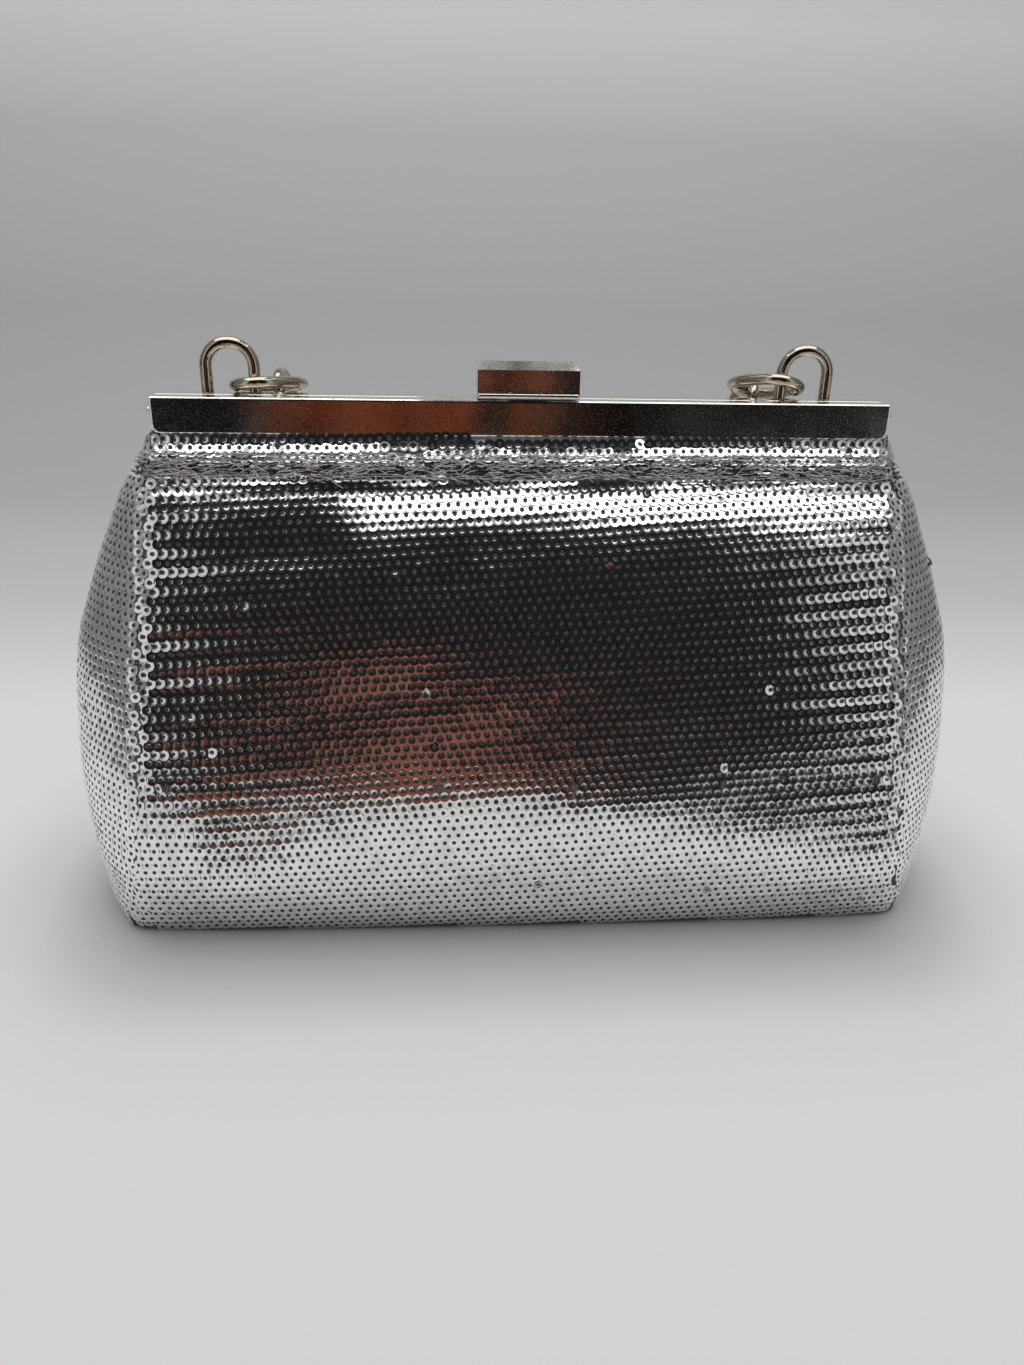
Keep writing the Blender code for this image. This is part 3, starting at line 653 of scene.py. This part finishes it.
def cloth_and_sequins():
    front_cloth = grid_piece("front_cloth", False, FRONT, 70, 80, 0.3, T_TOP - 0.2)
    to_front_frame(front_cloth, ("front_panel", "front_shoulder"))
    rear_cloth = grid_piece("rear_cloth", False, REAR, 70, 80, 0.3, T_TOP - 0.2)
    seat(rear_cloth, "body", ("rear_panel", "rear_shoulder"))
    to_front_frame(sequins("front_sequins_lower", False, FRONT, 0.0, T_HALF, 11))
    to_front_frame(sequins("front_sequins_upper", False, FRONT, T_HALF - 1.4, T_TOP, 11))
    seat(sequins("rear_sequins_lower", False, REAR, 0.0, T_HALF, 23), "body")
    seat(sequins("rear_sequins_upper", False, REAR, T_HALF - 1.4, T_TOP, 23), "body")
    for tag, mirror, seed in (("left", LEFT, 31), ("right", RIGHT, 43)):
        lower = grid_piece(tag + "_side_cloth", True, mirror, 50, 40, 0.3, T_SPLIT)
        seat(lower, "body", (tag + "_gusset",))
        scales = sequins(tag + "_side_sequins", True, mirror, 0.0, T_SPLIT + 0.5, seed, rise=1.0)
        seat(scales, "body")
        for end, part in (("front", (0.0, 1.0)), ("rear", (-1.0, 0.0))):
            upper = grid_piece(tag + "_side_cloth_" + end, True, mirror, 28, 20, T_SPLIT, T_TOP - 0.2, part)
            scales = sequins(tag + "_side_sequins_" + end, True, mirror, T_SPLIT - 1.0, T_TOP, seed + 5,
                             rise=1.0, part=part)
            for piece in (upper, scales):
                if end == "front":
                    to_front_frame(piece)
                else:
                    seat(piece, "body")


cloth_and_sequins()


# ---------------------------------------------------------------- metal parts
def plate_metal_nodes():
    """Give the solids that stay in view their metals."""
    for name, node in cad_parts.items():
        material = None
        if name.endswith("_bar") or "rivet" in name or name == "clasp_tab":
            material = NICKEL
        elif "arm" in name or "pin" in name or name in ("catch_plate", "clasp_bracket"):
            material = STEEL
        if material is not None:
            node.data.materials.clear()
            node.data.materials.append(material)


plate_metal_nodes()


def wire(name, points, radius, closed, material, sides=4):
    curve = bpy.data.curves.new(name, "CURVE")
    curve.dimensions = "3D"
    curve.bevel_depth = radius
    curve.bevel_resolution = sides
    curve.use_fill_caps = not closed
    spline = curve.splines.new("POLY")
    spline.points.add(len(points) - 1)
    for pt, co in zip(spline.points, points):
        pt.co = (co[0], co[1], co[2], 1.0)
    spline.use_cyclic_u = closed
    holder = bpy.data.objects.new(name + "_path", curve)
    bpy.context.scene.collection.objects.link(holder)
    bpy.context.view_layer.update()
    mesh = bpy.data.meshes.new_from_object(holder.evaluated_get(bpy.context.evaluated_depsgraph_get()))
    bpy.data.objects.remove(holder, do_unlink=True)
    mesh.materials.clear()
    mesh.materials.append(material)
    mesh.shade_smooth()
    ob = bpy.data.objects.new(name, mesh)
    bpy.context.scene.collection.objects.link(ob)
    return ob


def link_shape(node):
    """Centre, long axis and cross axis of a chain link's solid."""
    co = np.array([v.co for v in node.data.vertices], float)
    centre = co.mean(0)
    _, _, axes = np.linalg.svd(co - centre, full_matrices=False)
    return Vector(centre), Vector(axes[0]), Vector(axes[1])



def rebuilt_link(name, node):
    centre, along, across = link_shape(node)
    points = []
    for side, start in ((1, -90), (-1, 90)):
        for k in range(19):
            a = math.radians(start + 10 * k)
            points.append(centre + along * (side * LINK_STRAIGHT + LINK_BEND * math.cos(a))
                          + across * (LINK_BEND * math.sin(a)))
    return wire(name, points, WIRE_R, True, CHAIN)


def chain_links():
    for name in sorted(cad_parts):
        if "link" in name:
            piece = rebuilt_link(name + "_wire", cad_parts[name])
            seat(piece, "strap" if name.startswith("strap") else "body", (name,))


def staple_hoop(tag):
    """Arched wire in the place of a staple's solid, its feet a little below the bar's top."""
    low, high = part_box(tag + "_staple")
    cx, cy = (low.x + high.x) / 2, (low.y + high.y) / 2
    half = (high.x - low.x) / 2 - WIRE_R
    bend = half * 0.97
    top = high.z - WIRE_R
    points = [Vector((cx - half, cy, low.z - 0.0002)), Vector((cx - half, cy, low.z + 0.003))]
    for k in range(19):
        a = math.radians(180 - 10 * k)
        offset = (half - bend) * (-1 if k < 9 else 1 if k > 9 else 0)
        points.append(Vector((cx + offset + bend * math.cos(a), cy, top - bend + bend * math.sin(a))))
    points += [Vector((cx + half, cy, low.z + 0.003)), Vector((cx + half, cy, low.z - 0.0002))]
    hoop = wire(tag + "_staple_wire", points, WIRE_R * STAPLE_SWELL, False, CHAIN)
    seat(hoop, "body", (tag + "_staple",))


chain_links()
for tag in ("left", "right"):
    staple_hoop(tag)


# ---------------------------------------------------------------- lining, base
def outline(z, inset, count):
    """Closed plan loop at height z, anticlockwise from the front centre, count points to each quarter."""
    pts, s2, _ = plan_half(z, inset)
    along = np.linspace(0, s2[-1], count + 1)
    quarter = np.stack([np.interp(along, s2, pts[:, 0]), np.interp(along, s2, pts[:, 1])], axis=1)
    right = np.concatenate([quarter, (quarter * (1, -1))[-2::-1]])
    loop = np.concatenate([right, (right * (-1, 1))[-2:0:-1]])
    return np.concatenate([loop, np.full((len(loop), 1), z)], axis=1)


def loop_faces(rows, width, closed=True):
    faces = []
    for r in range(rows - 1):
        for c in range(width if closed else width - 1):
            d = (c + 1) % width
            faces.append((r * width + c, r * width + d, (r + 1) * width + d, (r + 1) * width + c))
    return faces


def thicken(ob, thickness):
    solid = ob.modifiers.new("thickness", "SOLIDIFY")
    solid.thickness = thickness * MM
    solid.offset = 0.0
    return ob


def lining_bag():
    """Gathered inner bag: floor, foot curve and walls, open at the top."""
    inset, quarter = 2.9, 40
    rows = []
    for share in (0.05, 0.35, 0.62, 0.82, 0.94, 1.0):
        ring = outline(6.0, inset, quarter)
        rise = 0.0 if share < 0.9 else (share - 0.9) * 14.0
        ring[:, :2] *= share
        ring[:, 2] = 4.7 + rise + 0.12 * np.sin(ring[:, 0] / 9.0) * np.cos(ring[:, 1] / 7.0)
        rows.append(ring)
    for z in np.linspace(8.0, 97.0, 34):
        ring = outline(z, inset, quarter)
        x, y = ring[:, 0], ring[:, 1]
        around = np.arange(len(ring)) * 0.39
        pleat = 0.28 * np.sin(around * 1.0 + 0.5 * np.sin(z / 13.0)) * (0.25 + 0.75 * z / 97.0)
        slump = 0.35 * (1 + np.sin(z / 8.5 + x / 26.0 + y / 9.0))
        length = np.hypot(x, y)
        ring[:, 0] -= x / length * (pleat + slump) * 0.8
        ring[:, 1] -= y / length * (pleat + slump) * 0.8
        rows.append(ring)
    width = len(rows[0])
    verts = np.concatenate(rows)
    faces = loop_faces(len(rows), width) + [tuple(range(width))[::-1]]
    return thicken(mesh_object("lining_bag", verts * MM, faces, SATIN), 0.5)


def upper_lining(name, sign):
    """Half of the lining above the hinges, from side middle to side middle, gathered to the bar."""
    rows = []
    for z in np.linspace(97.4, 134.5, 24):
        loop = outline(z, 3.0, 40)
        quarter = len(loop) // 4
        half = np.roll(loop, quarter, axis=0)[2:2 * quarter - 1]
        x, y = half[:, 0].copy(), half[:, 1].copy()
        bunch = (z - 97.0) / 38.0
        half[:, 1] += 0.35 * bunch * np.sin(x / 1.9 + 0.4 * np.sin(z / 6.0)) + 0.35
        half[:, 0] -= np.sign(x) * 0.3 * bunch * (1 + np.sin(y * 1.6))
        half[:, 1] *= sign
        rows.append(half)
    verts = np.concatenate(rows)
    faces = loop_faces(len(rows), len(rows[0]), closed=False)
    return thicken(mesh_object(name, verts * MM, faces, SATIN), 0.45)


def gusset_fold(name, side):
    """Pleat of cloth inside the side slit, folded inwards, its fold deepening upwards from the hinge."""
    rows = []
    for r in np.linspace(2.5, 31.0, 16):
        z = HINGE_Z + r
        edge = side_x(z) - 1.6
        depth = 0.42 * r
        row = []
        for k in np.linspace(-1, 1, 13):
            inwards = (1.0 - abs(k)) * depth + 0.25 * math.sin(9.0 * k + r / 4.0)
            row.append((side * (edge - inwards), -0.55 * k, z))
        rows.append(row)
    faces = loop_faces(len(rows), 13, closed=False)
    ob = mesh_object(name, np.array(rows).reshape(-1, 3) * MM, faces, CLOTH)
    return thicken(ob, 0.3)


def side_x(z):
    return knot_value(SIDE_X, z)


def base_cloth():
    """Base panel with its edges turned up into the side seams, and a stitched border."""
    rows = []
    for share, z in ((0.04, 0.25), (0.3, 0.2), (0.55, 0.2), (0.75, 0.2), (0.86, 0.2), (0.885, 0.32),
                     (0.91, 0.2), (0.95, 0.22), (0.98, 0.4), (0.992, 0.8), (0.998, 1.5)):
        ring = outline(1.0, 0.6, 36)
        ring = settle(np.where(np.abs(ring) < 1e-9, 1e-9, ring))
        ring[:, :2] *= share
        ring[:, 2] = z
        rows.append(ring)
    verts = np.concatenate(rows)
    faces = loop_faces(len(rows), len(rows[0])) + [tuple(range(len(rows[0])))[::-1]]
    return mesh_object("base_cloth", verts * MM, faces, BASE_CLOTH)


def strands(name, paths, radius, material):
    """Many thin three-sided threads in one mesh."""
    verts, faces = [], []
    for path in paths:
        path = np.asarray(path, float)
        step = np.gradient(path, axis=0)
        step /= np.linalg.norm(step, axis=1)[:, None] + 1e-9
        side = np.cross(step, (0.2, 1.0, 0.3))
        side /= np.linalg.norm(side, axis=1)[:, None] + 1e-9
        other = np.cross(step, side)
        base = len(verts)
        for k in range(len(path)):
            for j in range(3):
                a = 2 * math.pi * j / 3
                verts.append(path[k] + (side[k] * math.cos(a) + other[k] * math.sin(a)) * radius)
        for k in range(len(path) - 1):
            for j in range(3):
                m = (j + 1) % 3
                faces.append((base + k * 3 + j, base + k * 3 + m, base + k * 3 + 3 + m, base + k * 3 + 3 + j))
        faces.append((base, base + 2, base + 1))
        end = base + 3 * (len(path) - 1)
        faces.append((end, end + 1, end + 2))
    return mesh_object(name, np.array(verts) * MM, faces, material)


def band_threads(name, mirror, seed):
    """Gathering threads along the band's two edges, short loose fibres in it, frayed ends at the corners."""
    rng = np.random.default_rng(seed)
    low, high = (float(np.interp(z, BODY.z, BODY.t)) for z in BAND)
    reach = float(np.interp(high, BODY.t, BODY.front_half))
    paths = []

    def along_surface(s, t, lift):
        s = np.clip(s, -reach + 0.3, reach - 0.3)
        p, _, n = BODY.frame_at(s, t)
        return (p + n * np.asarray(lift)[:, None]) * mirror

    for t_line in (low + 0.2, low + 0.7, high - 0.5, high + 0.1):
        s = np.linspace(-reach, reach, 260)
        wave = 0.22 * np.sin(s / 3.1 + t_line) + 0.15 * np.sin(s / 1.3 + 2 * t_line)
        paths.append(along_surface(s, np.full(260, t_line) + wave, 0.75 + 0.15 * np.sin(s / 1.25 + t_line)))
    for _ in range(900):
        s0 = rng.uniform(-reach, reach)
        t0 = rng.uniform(low, high)
        length = rng.uniform(1.5, 5.5)
        k = np.linspace(0, 1, 5)
        turn = rng.normal(0, 0.35)
        s = s0 + length * k * math.cos(turn)
        t = t0 + length * k * math.sin(turn) + rng.normal(0, 0.12) * np.sin(k * 3.1)
        paths.append(along_surface(s, t, 0.75 + rng.uniform(0.0, 0.35) * np.sin(k * 3.14)))
    for end in (-1, 1):
        for _ in range(34):
            s0 = end * rng.uniform(reach - 9.0, reach - 0.5)
            t0 = rng.uniform(low - 0.5, high + 0.8)
            k = np.linspace(0, 1, 6)
            length = rng.uniform(2.0, 5.5)
            turn = rng.uniform(-0.9, 0.9) + (0 if end > 0 else math.pi)
            curl = rng.normal(0, 0.9)
            s = s0 + length * k * np.cos(turn + curl * k)
            t = t0 + length * k * np.sin(turn + curl * k)
            paths.append(along_surface(s, t, 0.6 + rng.uniform(0.3, 1.3) * np.sin(k * 2.2)))
    return strands(name, paths, 0.10, FIBRE)


def clasp_lip():
    """Rolled lip along the foot of the clasp's front face."""
    low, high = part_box("clasp_tab")
    y0, z0 = low.y + 0.00035, low.z + 0.00078
    sides = 12
    turn = [2 * math.pi * k / sides for k in range(sides)]
    ring = [(0.00060 * math.cos(a), 0.00076 * math.sin(a)) for a in turn]
    verts = []
    stations = [(-1.0, 0.55), (-0.985, 0.9), (-0.96, 1.0)] + [(v, 1.0) for v in np.linspace(-0.9, 0.9, 15)]
    stations += [(0.96, 1.0), (0.985, 0.9), (1.0, 0.55)]
    half, middle = (high.x - low.x) / 2, (high.x + low.x) / 2
    for where, size in stations:
        for y, z in ring:
            verts.append((middle + half * where, y0 + y * size, z0 + z * size))
    faces = loop_faces(len(stations), sides)
    last = (len(stations) - 1) * sides
    faces += [tuple(range(sides))[::-1], tuple(range(last, last + sides))]
    return mesh_object("clasp_lip", verts, faces, NICKEL)


seat(lining_bag(), "body", ("lining",))
seat(upper_lining("rear_upper_lining", -1), "body", ("rear_lining",))
to_front_frame(upper_lining("front_upper_lining", 1), ("front_lining",))
seat(base_cloth(), "body", ("base_panel",))
to_front_frame(band_threads("front_band_threads", np.array(FRONT), 71))
seat(band_threads("rear_band_threads", np.array(REAR), 73), "body")
for side, tag in ((-1, "left"), (1, "right")):
    fold = gusset_fold(tag + "_gusset_fold", side)
    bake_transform(fold)
seat(clasp_lip(), "clasp")
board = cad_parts["base_board"]
board.data.materials.clear()
board.data.materials.append(BOARD)


# ---------------------------------------------------------------- studio
def reflected_card(name, corners, material):
    """Flat card that only mirror reflections see."""
    ob = mesh_object(name, corners, [(0, 1, 2, 3)], material, smooth=False)
    ob.visible_camera = False
    ob.visible_shadow = False
    ob.visible_diffuse = False
    return ob


def black_card(name):
    """Matt card that stays dark under the lamp."""
    m = Nodes(name)
    m.set(Roughness=1.0)
    m.shader.inputs["Specular IOR Level"].default_value = 0.0
    tone = m.ramp(m.noise(m.coords(), 4.0), [(0.3, grey(0.008)), (0.7, grey(0.016))])
    m.link(tone, m.shader.inputs["Base Color"])
    return m.mat


def glow_card(name, stops, axis, patchy=0.0, scale=9.0):
    """Card that only glows: colour by place along one axis, broken up by soft noise."""
    m = Nodes(name)
    m.set(Roughness=1.0)
    m.shader.inputs["Base Color"].default_value = (0, 0, 0, 1)
    m.shader.inputs["Specular IOR Level"].default_value = 0.0
    pos = m.coords()
    split = m.add("ShaderNodeSeparateXYZ")
    m.link(pos, split.inputs["Vector"])
    colour = m.ramp(split.outputs[axis], stops)
    if patchy > 0.0:
        cloud = m.ramp(m.noise(pos, scale, 2.0), [(0.35, grey(1.0 - patchy)), (0.62, grey(1.0))])
        mix = m.add("ShaderNodeMix", data_type="RGBA", blend_type="MULTIPLY")
        mix.inputs["Factor"].default_value = 1.0
        m.link(colour, mix.inputs["A"])
        m.link(cloud, mix.inputs["B"])
        colour = mix.outputs["Result"]
    m.link(colour, m.shader.inputs["Emission Color"])
    m.shader.inputs["Emission Strength"].default_value = 1.0
    return m.mat


def paper(name):
    """Backdrop paper with painted light and shade: its tone changes softly along the sweep, and a painted
    contact shadow darkens it close to the bag's foot.
    """
    m = Nodes(name)
    m.set(Roughness=0.8)
    m.shader.inputs["Specular IOR Level"].default_value = 0.2
    pos = m.coords()
    split = m.add("ShaderNodeSeparateXYZ")
    m.link(pos, split.inputs["Vector"])
    run = m.add("ShaderNodeMath", operation="ADD")
    m.link(split.outputs["Y"], run.inputs[0])
    m.link(split.outputs["Z"], run.inputs[1])
    scaled = m.add("ShaderNodeMath", operation="MULTIPLY_ADD")
    scaled.inputs[1].default_value = 0.4
    scaled.inputs[2].default_value = 0.2
    m.link(run.outputs[0], scaled.inputs[0])
    # painted light and shade along the sweep: the paper darkens from just in front of the bag back to the
    # curve of the sweep, then lightens up the curve into the wall
    tones = [(-0.20, 0.765), (0.045, 0.83), (0.134, 0.80), (0.274, 0.61), (0.53, 0.515), (1.0, 0.495),
             (1.31, 0.64), (1.46, 0.88)]
    colour = m.ramp(scaled.outputs[0], [(0.2 + 0.4 * u, grey(v)) for u, v in tones])
    # painted contact shadow: the paper darkens by distance from a fixed rectangle round the bag's foot
    away = pos
    for step, value in (("ABSOLUTE", None), ("SUBTRACT", PAINTED_SHADOW_FOOTPRINT), ("MAXIMUM", (0.0, 0.0, 0.0))):
        node = m.add("ShaderNodeVectorMath", operation=step)
        m.link(away, node.inputs[0])
        if value is not None:
            node.inputs[1].default_value = value
        away = node.outputs["Vector"]
    reach = m.add("ShaderNodeVectorMath", operation="LENGTH")
    m.link(away, reach.inputs[0])
    near = m.ramp(reach.outputs["Value"], [(0.0, grey(0.5)), (0.012, grey(0.62)), (0.027, grey(0.75)),
                                           (0.045, grey(0.93)), (0.075, grey(0.99)), (0.12, grey(1.0))])
    shade = m.add("ShaderNodeMix", data_type="RGBA", blend_type="MULTIPLY")
    shade.inputs["Factor"].default_value = 1.0
    m.link(colour, shade.inputs["A"])
    m.link(near, shade.inputs["B"])
    m.link(shade.outputs["Result"], m.shader.inputs["Base Color"])
    m.bump(m.noise(pos, 900.0, 3.0), 0.00004, 0.3)
    return m.mat


def backdrop():
    """Paper floor swept up into a wall."""
    profile = [(-2.5, 0.0), (0.55, 0.0)]
    for k in range(1, 13):
        a = math.radians(90 * k / 12)
        profile.append((0.55 + 0.5 * math.sin(a), 0.5 - 0.5 * math.cos(a)))
    profile.append((1.05, 2.6))
    verts = []
    for y, z in profile:
        verts += [(-3.0, y, z), (3.0, y, z)]
    faces = [(2 * i, 2 * i + 1, 2 * i + 3, 2 * i + 2) for i in range(len(profile) - 1)]
    floor = mesh_object("floor", verts, faces, paper("floor_paper"))


def upright_card(name, x0, x1, z0, z1, y, material):
    reflected_card(name, [(x0, y, z0), (x1, y, z0), (x1, y, z1), (x0, y, z1)], material)


def level_card(name, x0, x1, y0, y1, z, material):
    reflected_card(name, [(x0, y0, z), (x1, y0, z), (x1, y1, z), (x0, y1, z)], material)


def warm_glow_cards():
    """Glowing brown and red cards between the bag and the dark card, seen only in reflections: painted
    reflections of warm-coloured surroundings.
    """
    y = CARD_Y + 0.01
    low, split, high = 0.012, 0.066, 0.235
    amber = [(0.0, (0.17, 0.040, 0.014, 1)), (0.5, (0.23, 0.060, 0.021, 1)), (1.0, (0.23, 0.060, 0.021, 1))]
    card = glow_card("amber_glow_card", amber, "X", 0.6, 14.0)
    upright_card("warm_glow_low", -0.176, 0.006, low, split, y, card)
    umber = [(0.0, (0.16, 0.045, 0.016, 1)), (0.06, (0.10, 0.03, 0.012, 1))]
    upright_card("warm_glow_mid", 0.036, 0.074, low, split, y, glow_card("umber_glow_card", umber, "X", 0.4, 14.0))
    faint = [(0.0, (0.020, 0.008, 0.004, 1)), (0.09, (0.016, 0.006, 0.003, 1)),
             (0.14, (0.003, 0.002, 0.001, 1))]
    upright_card("warm_glow_faint", 0.078, 0.150, low, split, y, glow_card("faint_glow_card", faint, "X", 0.3))
    copper = [(0.0, (0.20, 0.055, 0.022, 1)), (0.10, (0.21, 0.075, 0.045, 1)), (0.19, (0.35, 0.14, 0.11, 1)),
              (0.24, (0.12, 0.028, 0.036, 1))]
    card = glow_card("copper_glow_card", copper, "Z", 0.75, 11.0)
    upright_card("warm_glow_high", -0.17, 0.074, split, high, y, card)


def floor_cards():
    """Glowing card on the floor in front of the bag, and the dark shape on it that the low sequins mirror,
    both seen only in reflections: a painted reflection of bright floor and a painted shadow on it.
    """
    level_card("floor_glow", -0.5, 0.5, -0.62, -0.175, 0.002, glow_card("floor_glow", even(0.55), "X"))
    # dark card on the floor: painted shadow seen only in reflections
    dark = black_card("floor_card")
    for i, ((x0, y0), (x1, y1)) in enumerate(zip(FLOOR_EDGE, FLOOR_EDGE[1:])):
        corners = [(x0, CARD_Y, 0.005), (x1, CARD_Y, 0.005), (x1, y1, 0.005), (x0, y0, 0.005)]
        reflected_card("floor_card_%02d" % (i + 1), corners, dark)


def side_cards():
    """Bright cards beside the dark card, turned towards the bag."""
    for number, side in ((1, -1), (2, 1)):
        x = 0.56 * side + 0.01
        far = x + 0.26 * side
        corners = [(x, -0.64, 0.02), (far, -0.46, 0.02), (far, -0.46, 0.9), (x, -0.64, 0.9)]
        reflected_card("side_glow_%d" % number, corners, glow_card("side_glow", even(0.62), "Z"))


def even(value):
    return [(0.0, grey(value)), (1.0, grey(value))]


def lights():
    lamp = bpy.data.lights.new("overhead", "AREA")
    lamp.shape = "RECTANGLE"
    lamp.size = 1.9
    lamp.size_y = 1.35
    lamp.energy = 13.8
    ob = bpy.data.objects.new("overhead", lamp)
    ob.location = (0.0, -0.12, 1.35)
    bpy.context.scene.collection.objects.link(ob)

    world = bpy.data.worlds.new("studio_world")
    world.use_nodes = True
    tree = world.node_tree
    where = tree.nodes.new("ShaderNodeTexCoord")
    split = tree.nodes.new("ShaderNodeSeparateXYZ")
    ramp = tree.nodes.new("ShaderNodeValToRGB")
    tree.links.new(where.outputs["Generated"], split.inputs["Vector"])
    tree.links.new(split.outputs["Z"], ramp.inputs["Fac"])
    tree.links.new(ramp.outputs["Color"], tree.nodes["Background"].inputs["Color"])
    ramp.color_ramp.elements[0].position = 0.0
    ramp.color_ramp.elements[0].color = (0.162, 0.162, 0.162, 1)
    ramp.color_ramp.elements[1].position = 0.9
    ramp.color_ramp.elements[1].color = (0.372, 0.375, 0.378, 1)
    tree.nodes["Background"].inputs["Strength"].default_value = 1.0
    bpy.context.scene.world = world


def studio():
    backdrop()
    upright_card("dark_card", -0.50, 0.46, 0.0, 0.95, CARD_Y, black_card("dark_card"))
    warm_glow_cards()
    side_cards()
    floor_cards()
    # glowing patchy card above the clasp, seen only in reflections: a painted reflection on the clasp's front
    level_card("clasp_glow_card", -0.032, 0.032, -0.035, 0.06, 0.30,
               glow_card("clasp_glow_card", even(0.42), "X", 0.7, 60.0))
    lights()


def camera():
    data = bpy.data.cameras.new("camera")
    data.sensor_fit = "VERTICAL"
    data.sensor_height = SENSOR
    data.lens = CAMERA_LENS
    data.clip_start = 0.01
    ob = bpy.data.objects.new("camera", data)
    bpy.context.scene.collection.objects.link(ob)
    th, yaw, roll = (math.radians(v) for v in (CAMERA_PITCH, CAMERA_YAW, CAMERA_ROLL))
    ahead = Vector((math.sin(yaw) * math.cos(th), math.cos(yaw) * math.cos(th), -math.sin(th)))
    right = Vector((math.cos(yaw), -math.sin(yaw), 0.0))
    down = ahead.cross(right)
    c, s = math.cos(roll), math.sin(roll)
    right, down = right * c + down * s, down * c - right * s
    ob.matrix_world = Matrix.Translation(CAMERA_AT) @ Matrix((right, -down, -ahead)).transposed().to_4x4()
    bpy.context.scene.camera = ob


camera()
studio()
bpy.context.scene.view_settings.view_transform = "Standard"
